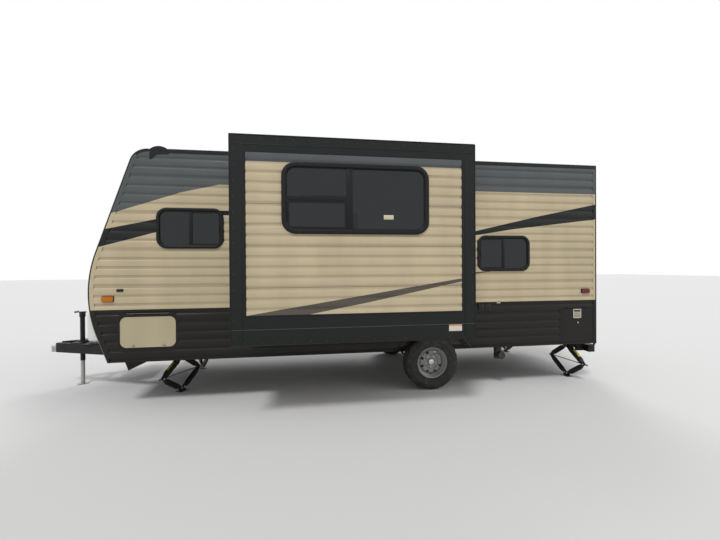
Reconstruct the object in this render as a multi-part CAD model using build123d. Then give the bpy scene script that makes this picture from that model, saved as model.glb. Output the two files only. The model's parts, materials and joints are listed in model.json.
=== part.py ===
"""Travel caravan: a single-axle travel trailer with one slide-out room.

Millimetres. While it is drawn, X runs to the rear from the foremost point of the nose, Y is 0
on the centreline and positive towards the kerb side (the side with the entry door), and Z is
the height above the ground. Every piece is moved to the origin under the middle of the whole
trailer when it is written.
"""
from build123d import *
import math
import os

# Body shell
BODY_LENGTH = 6430.0
BODY_WIDTH = 2440.0
ROOF_HEIGHT = 2990.0
WALL_BOTTOM = 535.0
WALL_THICK = 48.0
HALF_WIDTH = BODY_WIDTH / 2
HALF_INSIDE = HALF_WIDTH - WALL_THICK
REAR_INSIDE = BODY_LENGTH - WALL_THICK

# Nose, seen from the side: bottom, foremost corner and roof corner, with their round radii
NOSE_BOTTOM_X = 196.0
NOSE_TIP_X = -90.0
NOSE_TIP_Z = 1315.0
NOSE_TIP_RADIUS = 1430.0
NOSE_ROOF_X = 498.0
NOSE_ROOF_RADIUS = 200.0
ROOF_JOINT_X = 760.0

# Ribbed siding: panels of four broad ribs between narrow interlocks
SIDING_SEAM = 1400.0
SIDING_PANEL = 424.0
RIBS_PER_PANEL = 4
RIB_DEPTH = 7.0
RIB_TIP = 58.0
RIB_SLOPE = 12.0
SEAM_WIDTH = 12.0

# Floor and chassis
FLOOR_TOP = 680.0
FLOOR_THICK = 60.0
FLOOR_BOTTOM = FLOOR_TOP - FLOOR_THICK
RAIL_DEPTH = 152.0
RAIL_WIDTH = 50.0
RAIL_WEB = 6.0
RAIL_CENTRE = HALF_WIDTH - 330.0
RAIL_FRONT = 250.0
RAIL_BOTTOM = FLOOR_BOTTOM - RAIL_DEPTH
RAIL_OUTER = RAIL_CENTRE + RAIL_WIDTH / 2
RAIL_INNER = RAIL_CENTRE - RAIL_WIDTH / 2
CROSS_DEPTH = 90.0
CROSS_WIDTH = 50.0
AXLE_X = BODY_LENGTH - 2360.0
CROSS_PLACES = (
    275.0, 855.0, 1800.0, AXLE_X - 1370.0, AXLE_X - 670.0, AXLE_X + 680.0,
    BODY_LENGTH - 930.0, BODY_LENGTH - 146.0,
)
DEEP_CROSS_PLACES = (CROSS_PLACES[1], CROSS_PLACES[-1])
OUTRIGGER_PLACES = (
    900.0, 1800.0, AXLE_X - 1570.0, AXLE_X - 810.0, AXLE_X + 830.0, BODY_LENGTH - 830.0,
)
OUTRIGGER_THICK = 5.0
OUTRIGGER_TIP = 30.0
OUTRIGGER_ROOT = 20.0

# Gussets under the front ends of the rails: x from, x of the point, x to, and their depth
GUSSET = (261.0, 298.0, 511.0, 100.0)
GUSSET_THICK = 8.0

# Tongue
TONGUE_REACH = 1030.0
TONGUE_DEPTH = 127.0
TONGUE_TIP_Y = 52.0
TONGUE_TIP_X = -930.0
TONGUE_FOOT_X = 880.0
TONGUE_PLATE = (60.0, 190.0)
TRAY = (-500.0, 60.0, 340.0)
TONGUE_TOP = RAIL_BOTTOM + TONGUE_DEPTH
TRAY_THICK = 8.0
TONGUE_NOTCH = RAIL_INNER - 225.0
NOTCH_CLEARANCE = 5.0
BALL_SOCKET_RADIUS = 25.6
BALL_SOCKET_DEPTH = 30.0
COUPLER_HEAD = 45.0
COUPLER_HEIGHT = 85.0
COUPLER_LEVER = (10.0, 120.0, 10.0, 26.0)

# Tongue jack
TONGUE_JACK_X = -640.0
JACK_TUBE_RADIUS = 30.0
JACK_TUBE_WALL = 4.0
JACK_TUBE_FOOT = 330.0
JACK_TUBE_HEAD = 1000.0
JACK_LEG_CLEARANCE = 0.4
JACK_LEG_TOP = 640.0
JACK_LEG_FOOT = 12.0

JACK_HEAD_RADIUS = 38.0
JACK_FLANGE_RADIUS = 62.0
CRANK_RADIUS = 7.0
CRANK_REACH = 110.0
CRANK_ARM = 150.0
JACK_FOOT_RADIUS = 70.0

# Wheels and axle
TYRE_RADIUS = 358.0
TYRE_WIDTH = 225.0
RIM_RADIUS = 190.0
RIM_WIDTH = 165.0
RIM_SHELL = 6.0
TYRE_OUTER_FACE = HALF_WIDTH - 30.0
WHEEL_CENTRE = TYRE_OUTER_FACE - TYRE_WIDTH / 2
AXLE_RADIUS = 30.0
SPINDLE_RADIUS = 22.0
BEARING_CLEARANCE = 0.3
HUB_RADIUS = 58.0
HUB_CAP_RADIUS = 36.0
DRUM_RADIUS = 130.0
DRUM_DEPTH = 60.0
RIM_HOLES = 8
RIM_HOLE_CIRCLE = 130.0
RIM_HOLE_RADIUS = 20.0
SPRING_HALF = 330.0
SPRING_WIDTH = 45.0
LEAF_THICK = 8.0
SPRING_RISE = 28.0
EYE_RADIUS = 14.0
EYE_DROP = 5.0
ARCH_HALF_BOTTOM = 515.0
ARCH_HALF_TOP = 262.0
ARCH_TOP = 800.0
WHEEL_BOX_SHEET = 6.0
WHEEL_BOX_INSIDE = RAIL_OUTER + 10.0

# Slide-out room
SLIDE_REACH = 850.0
SLIDE_FRONT_X = 1735.0
SLIDE_REAR_X = BODY_LENGTH - 2245.0
SLIDE_BOTTOM = 840.0
SLIDE_TOP = ROOF_HEIGHT - 120.0
SLIDE_PANEL = 40.0
SLIDE_CLEARANCE = 8.0
SLIDE_ENGAGED = 42.0
SLIDE_FACE = HALF_WIDTH + SLIDE_REACH
SILL_GAP = 0.3
SILL_PLACES = (SLIDE_FRONT_X + 515.0, SLIDE_REAR_X - 535.0)
SILL_WIDTH = 100.0
SILL_DEPTH = 170.0
FASCIA_THICK = 18.0
FASCIA_SIDE = 67.0
FASCIA_TOP = 70.0
FASCIA_BOTTOM = 15.0
CREAM_FRONT_X = SLIDE_FRONT_X + 85.0
CREAM_REAR_X = SLIDE_REAR_X - 85.0
CREAM_BOTTOM = 1125.0
CREAM_TOP = SLIDE_TOP - 100.0

# Windows and doors
FRAME_PROUD = 12.0
FRAME_WIDTH = 34.0
SLEEVE_WALL = 4.0
PANE_THICK = 5.0
PANE_DEPTH = 8.0
DOOR_GAP = 6.0
DOOR_SKIN = 14.0
DOOR_STEP = 10.0
DOOR_THICK = WALL_THICK - 3.0
HINGE_HEIGHT = 6.5
HINGE_BARREL = 6.0
HINGE_PIN = 3.0
HINGE_KNUCKLE = 22.0
HINGE_LEAF = 15.0
LEAF_SHEET = 2.0
SURROUND = 28.0
LATCH_RADIUS = 14.0
LATCH_PROUD = 8.0

# Windows of the two walls: side (-1 road, +1 kerb), x from, x to, z from, z to, corner radius,
# and the x of an upright bar, or None
FRONT_WINDOW = (728.0, 1477.0, ROOF_HEIGHT - 1148.0, ROOF_HEIGHT - 675.0, 70.0, 1102.0)
REAR_WINDOW_X = BODY_LENGTH - 1752.0
WALL_WINDOWS = (
    (-1, *FRONT_WINDOW),
    (
        -1, REAR_WINDOW_X, REAR_WINDOW_X + 748.0,
        ROOF_HEIGHT - 1444.0, ROOF_HEIGHT - 970.0, 70.0, REAR_WINDOW_X + 374.0,
    ),
    (1, *FRONT_WINDOW),
    (1, AXLE_X - 510.0, AXLE_X + 410.0, ROOF_HEIGHT - 1370.0, ROOF_HEIGHT - 810.0, 90.0, AXLE_X - 50.0),
    (
        1, BODY_LENGTH - 1230.0, BODY_LENGTH - 630.0,
        ROOF_HEIGHT - 1290.0, ROOF_HEIGHT - 890.0, 70.0, None,
    ),
)
SLIDE_WINDOW = (
    SLIDE_FRONT_X + 445.0, SLIDE_REAR_X - 465.0, SLIDE_TOP - 914.0, SLIDE_TOP - 202.0, 110.0,
)
SLIDE_MULLION = (SLIDE_WINDOW[0] + 659.0, SLIDE_WINDOW[0] + 775.0)
SLIDE_SASH_BAR = (SLIDE_WINDOW[2] + 337.0, SLIDE_WINDOW[2] + 387.0)

# Storage doors: x from, x to, z from, z to, corner radius
BAGGAGE_DOOR = (329.0, 931.0, 685.0, 1075.0, 50.0)
ACCESS_DOOR = (BODY_LENGTH - 525.0, BODY_LENGTH - 56.0, 570.0, 1030.0, 12.0)
ACCESS_LATCH = (BODY_LENGTH - 288.0, 831.0)
ENTRY_DOOR = (AXLE_X - 1520.0, AXLE_X - 860.0, 690.0, ROOF_HEIGHT - 460.0, 60.0)
ENTRY_WINDOW = (
    ENTRY_DOOR[0] + 150.0, ENTRY_DOOR[1] - 150.0, ENTRY_DOOR[3] - 970.0, ENTRY_DOOR[3] - 330.0, 70.0,
)
ENTRY_HANDLE = (ENTRY_DOOR[1] - 115.0, ENTRY_DOOR[1] - 30.0, 1380.0, 1500.0)

# Entry step
STEP_AXIS_Y = HALF_WIDTH - 80.0
STEP_AXIS_Z = 492.0
STEP_FRONT_X = ENTRY_DOOR[0] + 50.0
STEP_REAR_X = ENTRY_DOOR[1] - 50.0
STEP_DEPTH = 200.0
STEP_TREAD = 22.0
STEP_SIDE = 8.0
STEP_SIDE_HALF = 16.0
STEP_PIN = 8.0
STEP_BRACKET = 6.0

# Stabiliser jacks: x, distance from the centreline, turn of their outer arms from +X
STABILISERS = {
    "front": (830.0, HALF_WIDTH - 625.0, 115.0),
    "rear": (BODY_LENGTH - 188.0, HALF_WIDTH - 360.0, 88.0),
}
ARM_LENGTH = 370.0
ARM_TOP = 440.0
ARM_FOOT = 45.0
ARM_OFFSET = 25.0
ARM_HALF = 17.0
UPPER_ARM_INSIDE = 16.0
LOWER_ARM_INSIDE = 10.5
ARM_PLATE = 3.5
BRACKET_INSIDE = 23.0
STAB_PIN = 6.0
STAB_PIN_CLEARANCE = 0.3
SCREW_RADIUS = 6.0
SCREW_OUTSIDE = 70.0
SCREW_INSIDE = 40.0
NUT_RADIUS = 9.0
PLATE_REACH = 30.0
PLATE_THICK = 8.0
FOOT_PAD = (75.0, 50.0, 5.0)
ARM_WEB = (60.0, 75.0)

# Roof and outside fittings
RAIL_HEIGHT = 40.0
TRIM_PROUD = 6.0
CAP_FRONT_X = 658.0
CAP_REAR_X = 864.0
CAP_RISE = 35.0
NOSE_TRIM = 28.0
REAR_TRIM = 26.0
CAP_DROP = 22.0
CAP_EDGE = 12.0
# Gutter over a storage door: inset at the front and rear, lift above the door, height, how far proud
GUTTER = (77.0, 73.0, 19.0, 6.0, 12.0)
GRAB_RAIL_BEHIND_DOOR = 80.0
GRAB_RAIL_GAP = 55.0
GRAB_RAIL_LEVELS = (1050.0, 1570.0)
GRAB_RAIL_POST_INSET = 25.0
# Radius of the grab rail and of its posts
GRAB_RAIL_RADII = (13.0, 10.0)
AIRCON_X = BODY_LENGTH / 2 - 65.0
AIRCON_LENGTH = 1000.0
AIRCON_WIDTH = 720.0
AIRCON_BASE = 60.0
AIRCON_HEIGHT = 290.0
AIRCON_TAPER = 80.0
AIRCON_SLOTS = 5
AIRCON_CORNER = 90.0
AIRCON_TOP_CORNER = 35.0
AIRCON_BASE_INSET = 50.0
AIRCON_SLOT_START = 60.0
AIRCON_SLOT_END = 110.0
AIRCON_SLOT_FOOT = 30.0
AIRCON_SLOT_HEAD = 50.0
ROOF_VENT_PLACES = (1250.0, BODY_LENGTH - 1730.0, BODY_LENGTH - 730.0)
ROOF_VENT_HALF = 190.0
ROOF_VENT_HEIGHT = 75.0
# Width and thickness of a roof vent's flange, and the corner radii of its lid
ROOF_VENT_FLANGE = (25.0, 8.0)
ROOF_VENT_CORNERS = (30.0, 22.0)
PIPE_VENTS = ((BODY_LENGTH - 2080.0, 700.0), (BODY_LENGTH - 1180.0, -700.0))
PIPE_VENT_RADIUS = 45.0
PIPE_VENT_PIPE = 30.0
PIPE_VENT_HEIGHT = 62.0
PIPE_VENT_CAP = 22.0
AWNING_RADIUS = 55.0
AWNING_GAP = 5.0
AWNING_FRONT_X = 1560.0
AWNING_REAR_X = BODY_LENGTH - 1280.0
AWNING_HEIGHT = ROOF_HEIGHT - 140.0
AWNING_ARM_FOOT = 1000.0
AWNING_ARM_HALF = 30.0
AWNING_ARM_DEPTH = 42.0
AWNING_ROLL = 48.0
BUMPER_SIZE = 102.0
BUMPER_GAP = 40.0
BUMPER_HALF = HALF_WIDTH - 200.0
BUMPER_TOP = 474.0
BUMPER_CORNER = 8.0
BOTTLE_RADIUS = 152.0
BOTTLE_X = -330.0
BOTTLE_Y = 170.0
BOTTLE_HEIGHT = 430.0
BOTTLE_CORNER = 45.0
COLLAR_RADIUS = 100.0
COLLAR_HEIGHT = 90.0
COLLAR_SHEET = 4.0
COLLAR_OPENING_HALF = 60.0
BOTTLE_FOOT_RING = 20.0
# Radius and height of the valve stem; radius, bottom and top of its knob, above the bottle
VALVE_STEM = (14.0, 45.0)
VALVE_KNOB = (24.0, 40.0, 62.0)
BOTTLE_ROD_RADIUS = 10.0
# Half width and thickness of the hold-down bar, and how far it ends short of the bottles' axes
BOTTLE_BAR = (20.0, 14.0, 60.0)
# Battery box: x from, x to, half width, height; reach and rise of its lid
BATTERY_BOX = (-150.0, 10.0, 190.0, 200.0)
BATTERY_LID = (8.0, 25.0)

# Covers on the side walls: side, x from, x to, z from, z to, corner radius, how far proud
WALL_COVERS = (
    (-1, REAR_WINDOW_X + 13.0, REAR_WINDOW_X + 91.0, 1024.0, 1115.0, 8.0, 14.0),
    (-1, REAR_WINDOW_X + 104.0, REAR_WINDOW_X + 182.0, 1024.0, 1115.0, 8.0, 14.0),
    (1, AXLE_X + 490.0, AXLE_X + 990.0, 860.0, 1280.0, 12.0, 12.0),
    (1, AXLE_X - 590.0, AXLE_X - 310.0, 1300.0, 1420.0, 12.0, 12.0),
)

# Waste outlet under the road side, behind the axle: x, distance from the centreline, height;
# and the radius and length of its cap
WASTE_PIPE = (BODY_LENGTH - 1400.0, 1090.0, 420.0)
WASTE_PIPE_RADIUS = 40.0
WASTE_VALVE_RADIUS = 52.0
WASTE_VALVE_DROP = 60.0
WASTE_CAP = (49.0, 22.0)

# Lamps: x or y from and to, z from and to
FRONT_MARKER = (145.0, 266.0, 1234.0, 1296.0)
REAR_MARKER = (BODY_LENGTH - 230.0, BODY_LENGTH - 112.0, 1238.0, 1291.0)
TAIL_LAMP = (HALF_WIDTH - 275.0, HALF_WIDTH - 125.0, 820.0, 1000.0)
HIGH_LAMP_HALF = 50.0
HIGH_LAMP_PLACES = (140.0 - HALF_WIDTH, -170.0, 0.0, 170.0, HALF_WIDTH - 140.0)
HIGH_LAMP_TOP = ROOF_HEIGHT - 100.0
HIGH_LAMP_HEIGHT = 40.0
TAIL_LAMP_DEPTH = 28.0
HIGH_LAMP_DEPTH = 20.0
MARKER_DEPTH = 22.0
MARKER_CORNER = 12.0

# Whole trailer
BUMPER_REAR = BODY_LENGTH + BUMPER_GAP + BUMPER_SIZE
ROAD_REACH = SLIDE_FACE + FRAME_PROUD
KERB_REACH = HALF_WIDTH + AWNING_GAP + 2 * AWNING_RADIUS
MID_X = (BUMPER_REAR - TONGUE_REACH) / 2
MID_Y = (KERB_REACH - ROAD_REACH) / 2


def block(x0, x1, y0, y1, z0, z1):
    """A box from its lowest to its highest corner."""
    return Pos((x0 + x1) / 2, (y0 + y1) / 2, (z0 + z1) / 2) * Box(x1 - x0, y1 - y0, z1 - z0)


def joined(pieces):
    """One solid out of pieces that touch or overlap."""
    first, *rest = pieces
    for piece in rest:
        first = first + piece
    return first


def prism(face, y0, y1):
    """A face drawn in X and Z, stood upright and pushed from y0 to y1."""
    return Pos(0, max(y0, y1), 0) * extrude(Plane.XZ * face, abs(y1 - y0))


def wall_prism(face, side, near, far, plane=HALF_WIDTH):
    """The same, with both distances measured outwards from a side wall's face."""
    return prism(face, side * (plane + near), side * (plane + far))


def polygon(points):
    """A face inside straight lines through the points."""
    return make_face(Polyline(*points, close=True))


def rounded(x0, x1, z0, z1, radius):
    """A rectangle in X and Z with round corners."""
    return Pos((x0 + x1) / 2, (z0 + z1) / 2) * RectangleRounded(x1 - x0, z1 - z0, radius)


def rod(radius, start, end):
    """A round bar from one point to another."""
    direction = Vector(*end) - Vector(*start)
    return Plane(origin=start, z_dir=direction) * Cylinder(
        radius, direction.length, align=(Align.CENTER, Align.CENTER, Align.MIN)
    )


def body_outline(bottom=WALL_BOTTOM):
    """The side outline of the body, in X and Z."""
    slope = (NOSE_BOTTOM_X - NOSE_TIP_X) / (NOSE_TIP_Z - WALL_BOTTOM)
    foot = NOSE_BOTTOM_X + slope * (WALL_BOTTOM - bottom)
    face = polygon(
        [
            (foot, bottom),
            (NOSE_TIP_X, NOSE_TIP_Z),
            (NOSE_ROOF_X, ROOF_HEIGHT),
            (BODY_LENGTH, ROOF_HEIGHT),
            (BODY_LENGTH, bottom),
        ]
    )
    for x, z, radius in (
        (NOSE_TIP_X, NOSE_TIP_Z, NOSE_TIP_RADIUS),
        (NOSE_ROOF_X, ROOF_HEIGHT, NOSE_ROOF_RADIUS),
    ):
        corner = face.vertices().sort_by_distance((x, z, 0))[0]
        face = fillet(corner, radius)
    return face


def inner_outline():
    """The outline of the space inside the front wall, roof and rear wall, open at its foot."""
    return offset(body_outline(WALL_BOTTOM - 2 * WALL_THICK), -WALL_THICK)


def rib_points(bottom, top):
    """Height and depth of every corner of the ribs between two heights."""
    rib_pitch = (SIDING_PANEL - SEAM_WIDTH) / RIBS_PER_PANEL
    corners = (
        (-RIB_TIP / 2 - RIB_SLOPE, RIB_DEPTH),
        (-RIB_TIP / 2, 0.0),
        (RIB_TIP / 2, 0.0),
        (RIB_TIP / 2 + RIB_SLOPE, RIB_DEPTH),
    )
    points = []
    first = math.floor((bottom - SIDING_SEAM) / SIDING_PANEL)
    last = math.ceil((top - SIDING_SEAM) / SIDING_PANEL)
    for panel in range(first, last):
        seam = SIDING_SEAM + panel * SIDING_PANEL
        for rib in range(RIBS_PER_PANEL):
            middle = seam + SEAM_WIDTH + rib_pitch * (rib + 0.5)
            points += [(middle + reach, depth) for reach, depth in corners]
    return points


def siding_section(bottom, top, thickness):
    """Section of a ribbed panel: height along X and depth outwards along Y, tips at 0."""
    outline = [(height, -depth) for height, depth in rib_points(bottom, top)]
    outline += [(outline[-1][0], -thickness), (outline[0][0], -thickness)]
    trim = Pos((bottom + top) / 2, -thickness / 2) * Rectangle(top - bottom, 4 * thickness)
    return polygon(outline) & trim


def siding_wall(side, plane, thickness, x0, x1, bottom, top):
    """Ribbed panel on a side of the trailer, rib tips at the plane."""
    section = siding_section(bottom, top, thickness)
    upright = Plane(origin=(x0, side * plane, 0), x_dir=(0, 0, 1), z_dir=(1, 0, 0))
    flat = section if side < 0 else section.mirror(Plane.XZ)
    return extrude(upright * flat, x1 - x0, dir=(1, 0, 0))


def window(side, x0, x1, z0, z1, radius, plane=HALF_WIDTH, wall=WALL_THICK, bars=()):
    """Hole, frame and glass of a framed window in a side wall. Bars: x0, x1, z0, z1."""
    inset = FRAME_WIDTH - SLEEVE_WALL
    hole_face = rounded(x0 + inset, x1 - inset, z0 + inset, z1 - inset, radius - inset / 2)
    glass_face = rounded(
        x0 + FRAME_WIDTH, x1 - FRAME_WIDTH, z0 + FRAME_WIDTH, z1 - FRAME_WIDTH,
        radius - inset / 2 - SLEEVE_WALL,
    )
    hole = wall_prism(hole_face, side, -2 * wall, wall, plane)
    flange = wall_prism(rounded(x0, x1, z0, z1, radius), side, 0, FRAME_PROUD, plane)
    sleeve = wall_prism(hole_face, side, -wall, 0, plane)
    light = wall_prism(glass_face, side, -2 * wall, wall, plane)
    frame = flange + sleeve - light
    panes = wall_prism(glass_face, side, -PANE_DEPTH - PANE_THICK, -PANE_DEPTH, plane)
    for bar_x0, bar_x1, bar_z0, bar_z1 in bars:
        bar_face = rounded(bar_x0, bar_x1, bar_z0, bar_z1, 0.5) & glass_face
        bar = wall_prism(bar_face, side, -PANE_DEPTH - 2 * PANE_THICK, 0, plane)
        frame = frame + bar
        panes = panes - bar
    return hole, frame, panes


def upright_bar(x, z0, z1):
    """The bar down the middle of a window."""
    return (x - FRAME_WIDTH / 2, x + FRAME_WIDTH / 2, z0, z1)


def hinge(plane):
    """A small butt hinge: the fixed half with its pin, and the moving half.

    In the given plane X points from the fixed leaf to the moving one, Y outwards from the
    wall, and Z along the pin.
    """
    length = 3 * HINGE_KNUCKLE
    seam = HINGE_BARREL + 1
    leaf_start, leaf_end = HINGE_KNUCKLE, 2 * HINGE_KNUCKLE

    def barrel(radius, z0, z1):
        return rod(radius, (0, HINGE_HEIGHT, z0), (0, HINGE_HEIGHT, z1))

    fixed = block(-HINGE_LEAF, -seam, 0, LEAF_SHEET, 0, length)
    for z0 in (0, leaf_end):
        fixed = fixed + block(-seam, 0, 0, LEAF_SHEET, z0, z0 + HINGE_KNUCKLE)
        fixed = fixed + barrel(HINGE_BARREL, z0, z0 + HINGE_KNUCKLE)
    fixed = fixed + barrel(HINGE_PIN, 0, length)
    middle_start = leaf_start + BEARING_CLEARANCE
    middle_end = leaf_end - BEARING_CLEARANCE
    moving = block(seam, HINGE_LEAF, 0, LEAF_SHEET, 0, length)
    moving = moving + block(0, seam, 0, LEAF_SHEET, middle_start, middle_end)
    moving = moving + barrel(HINGE_BARREL, middle_start, middle_end)
    moving = moving - barrel(HINGE_PIN + BEARING_CLEARANCE, 0, length)
    return plane * fixed, plane * moving


def top_hinges(side, door):
    """Two hinges along the top edge of a storage door."""
    x0, x1, _, z1, _ = door
    fixed, moving = [], []
    for share in (0.2, 0.8):
        middle = x0 + share * (x1 - x0)
        start = middle + side * -1.5 * HINGE_KNUCKLE
        plane = Plane(
            origin=(start, side * HALF_WIDTH, z1 + DOOR_GAP / 2),
            x_dir=(0, 0, -1),
            z_dir=(side, 0, 0),
        )
        still, turning = hinge(plane)
        fixed.append(still)
        moving.append(turning)
    return fixed, moving


def door_leaf(side, door):
    """A door as thick as its wall, with an outer skin that is larger than its core."""
    x0, x1, z0, z1, radius = door
    skin = wall_prism(rounded(*door), side, -DOOR_SKIN, 0)
    core_face = rounded(
        x0 + DOOR_STEP, x1 - DOOR_STEP, z0 + DOOR_STEP, z1 - DOOR_STEP, max(radius - DOOR_STEP, 5)
    )
    return skin + wall_prism(core_face, side, -DOOR_THICK, -DOOR_SKIN)


def door_hole(side, door):
    """The opening in the wall round a door."""
    x0, x1, z0, z1, radius = door
    face = rounded(x0 - DOOR_GAP, x1 + DOOR_GAP, z0 - DOOR_GAP, z1 + DOOR_GAP, radius + DOOR_GAP)
    return wall_prism(face, side, -2 * WALL_THICK, WALL_THICK)


def door_surround(side, door):
    """A flat flange round a door, out to the tips of the ribs."""
    x0, x1, z0, z1, radius = door
    face = rounded(x0 - SURROUND, x1 + SURROUND, z0 - SURROUND, z1 + SURROUND, radius + SURROUND)
    return wall_prism(face, side, -RIB_DEPTH - 1, 0)


def latch(side, x, z):
    """A round thumb latch on a door's face."""
    face = side * HALF_WIDTH
    return rod(LATCH_RADIUS, (x, face - side * 1, z), (x, face + side * LATCH_PROUD, z))


def arch_face(margin=0.0):
    """Wheel arch outline in X and Z, open below the wall."""
    return polygon(
        [
            (AXLE_X - ARCH_HALF_BOTTOM - margin, WALL_BOTTOM - 1),
            (AXLE_X - ARCH_HALF_TOP - margin, ARCH_TOP + margin),
            (AXLE_X + ARCH_HALF_TOP + margin, ARCH_TOP + margin),
            (AXLE_X + ARCH_HALF_BOTTOM + margin, WALL_BOTTOM - 1),
        ]
    )


def side_wall(side, doors, holes):
    """A ribbed side wall, cut to the outline of the body and to its openings."""
    wall = siding_wall(side, HALF_WIDTH, WALL_THICK, 0, BODY_LENGTH, WALL_BOTTOM, ROOF_HEIGHT)
    for door in doors:
        wall = wall + door_surround(side, door)
    wall = wall & wall_prism(body_outline(), side, -WALL_THICK, 0)
    wall = wall - wall_prism(arch_face(), side, -2 * WALL_THICK, WALL_THICK)
    for hole in holes:
        wall = wall - hole
    return wall


def nose_face():
    """Side outline of the nose with its ribs, back to the joint of the roof."""
    edges = [
        edge
        for edge in body_outline().edges()
        if edge.center().X < REAR_INSIDE and edge.center().Y > WALL_BOTTOM + 1
    ]
    line = Wire(edges)
    upwards = (line @ 0).Y < (line @ 1).Y
    reach = line.length - (BODY_LENGTH - CAP_FRONT_X)
    points = [(NOSE_BOTTOM_X + RIB_DEPTH, WALL_BOTTOM)]
    for height, depth in rib_points(WALL_BOTTOM, WALL_BOTTOM + reach):
        distance = height - WALL_BOTTOM
        if RIB_DEPTH < distance < reach:
            share = distance / line.length if upwards else 1 - distance / line.length
            place = line @ share
            along = line % share if upwards else line % share * -1
            points.append((place.X + along.Y * depth, place.Y - along.X * depth))
    points += [(ROOF_JOINT_X, ROOF_HEIGHT), (ROOF_JOINT_X, WALL_BOTTOM)]
    return polygon(points)


def front_wall():
    """Curved, ribbed front wall, notched over the tongue."""
    wall = prism(nose_face(), -HALF_INSIDE, HALF_INSIDE)
    wall = wall - prism(inner_outline(), -HALF_INSIDE, HALF_INSIDE)
    notch_top = TONGUE_TOP + NOTCH_CLEARANCE
    return wall - block(0, RAIL_FRONT, -TONGUE_NOTCH, TONGUE_NOTCH, WALL_BOTTOM - 1, notch_top)


def roof():
    """Roof panel between the side walls, from the front wall to the rear wall."""
    ring = prism(body_outline(), -HALF_INSIDE, HALF_INSIDE)
    ring = ring - prism(inner_outline(), -HALF_INSIDE, HALF_INSIDE)
    return ring & block(
        ROOF_JOINT_X, REAR_INSIDE, -HALF_INSIDE, HALF_INSIDE, FLOOR_TOP, ROOF_HEIGHT + WALL_THICK
    )


def rear_wall():
    """Flat, ribbed rear wall, notched over the main rails."""
    section = siding_section(WALL_BOTTOM, ROOF_HEIGHT, WALL_THICK)
    upright = Plane(origin=(BODY_LENGTH, -HALF_INSIDE, 0), x_dir=(0, 0, 1), z_dir=(0, 1, 0))
    wall = extrude(upright * section, 2 * HALF_INSIDE, dir=(0, 1, 0))
    reach = RAIL_WIDTH / 2 + NOTCH_CLEARANCE
    for middle in (-RAIL_CENTRE, RAIL_CENTRE):
        wall = wall - block(
            REAR_INSIDE, BODY_LENGTH, middle - reach, middle + reach, WALL_BOTTOM - 1, FLOOR_BOTTOM
        )
    return wall


def floor_deck():
    """Floor between the walls, with the boxes over the wheels and the sills of the slide."""
    inside = prism(inner_outline(), -HALF_INSIDE, HALF_INSIDE)
    deck = inside & block(0, REAR_INSIDE, -HALF_INSIDE, HALF_INSIDE, FLOOR_BOTTOM, FLOOR_TOP)
    for side in (-1, 1):
        outer = prism(arch_face(WHEEL_BOX_SHEET), side * (WHEEL_BOX_INSIDE - WHEEL_BOX_SHEET),
                      side * HALF_INSIDE)
        inner = prism(arch_face(), side * WHEEL_BOX_INSIDE, side * HALF_INSIDE)
        deck = deck + outer - inner
    for x in SILL_PLACES:
        deck = deck + block(
            x - SILL_WIDTH / 2, x + SILL_WIDTH / 2,
            -HALF_INSIDE, -HALF_INSIDE + SILL_DEPTH,
            FLOOR_TOP, SLIDE_BOTTOM - SILL_GAP,
        )
    return deck


def channel_rail(side):
    """A main rail, a channel open towards the centreline."""
    outer = block(
        RAIL_FRONT, BODY_LENGTH + BUMPER_GAP, RAIL_INNER, RAIL_OUTER, RAIL_BOTTOM, FLOOR_BOTTOM
    )
    hollow = block(
        RAIL_FRONT, BODY_LENGTH + BUMPER_GAP, RAIL_INNER, RAIL_OUTER - RAIL_WEB,
        RAIL_BOTTOM + RAIL_WEB, FLOOR_BOTTOM - RAIL_WEB,
    )
    rail = outer - hollow
    return rail if side > 0 else mirror(rail, Plane.XZ)


def tongue_rail(side):
    """A beam of the A-frame, from the coupler back to a cross-member."""
    start = Vector(TONGUE_TIP_X, side * TONGUE_TIP_Y, RAIL_BOTTOM + TONGUE_DEPTH / 2)
    end = Vector(TONGUE_FOOT_X, side * (RAIL_INNER - RAIL_WIDTH / 2), start.Z)
    along = end - start
    plane = Plane(origin=start, x_dir=(0, 0, 1), z_dir=along)
    return plane * Box(
        TONGUE_DEPTH, RAIL_WIDTH, along.length, align=(Align.CENTER, Align.CENTER, Align.MIN)
    )


def outrigger(side, x):
    """A tapering plate from a main rail out to the side wall."""
    section = polygon(
        [
            (side * RAIL_OUTER, FLOOR_BOTTOM),
            (side * HALF_INSIDE, FLOOR_BOTTOM),
            (side * HALF_INSIDE, FLOOR_BOTTOM - OUTRIGGER_TIP),
            (side * RAIL_OUTER, RAIL_BOTTOM + OUTRIGGER_ROOT),
        ]
    )
    upright = Plane(origin=(x - OUTRIGGER_THICK / 2, 0, 0), x_dir=(0, 1, 0), z_dir=(1, 0, 0))
    return extrude(upright * section, OUTRIGGER_THICK, dir=(1, 0, 0))


def gusset(side):
    """A three-cornered plate that hangs under the front end of a main rail."""
    x0, point, x1, depth = GUSSET
    face = polygon(
        [(x0, RAIL_BOTTOM + 1), (x1, RAIL_BOTTOM + 1), (x1, RAIL_BOTTOM), (point, RAIL_BOTTOM - depth)]
    )
    return prism(face, side * (RAIL_OUTER - GUSSET_THICK), side * RAIL_OUTER)


def spring_hangers(side):
    """Hangers over the two eyes of a leaf spring."""
    hangers = []
    for x in (AXLE_X - SPRING_HALF, AXLE_X + SPRING_HALF):
        hangers.append(
            block(
                x - 25, x + 25,
                side * RAIL_CENTRE - RAIL_WIDTH / 2, side * RAIL_CENTRE + RAIL_WIDTH / 2,
                RAIL_BOTTOM - EYE_DROP, RAIL_BOTTOM + 1,
            )
        )
    return hangers


def stabiliser_place(end, side):
    """Where a stabiliser stands: its own X runs outwards along its arms."""
    x, away, turn = STABILISERS[end]
    return Location((x, side * away, 0), (0, 0, side * turn))


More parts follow.
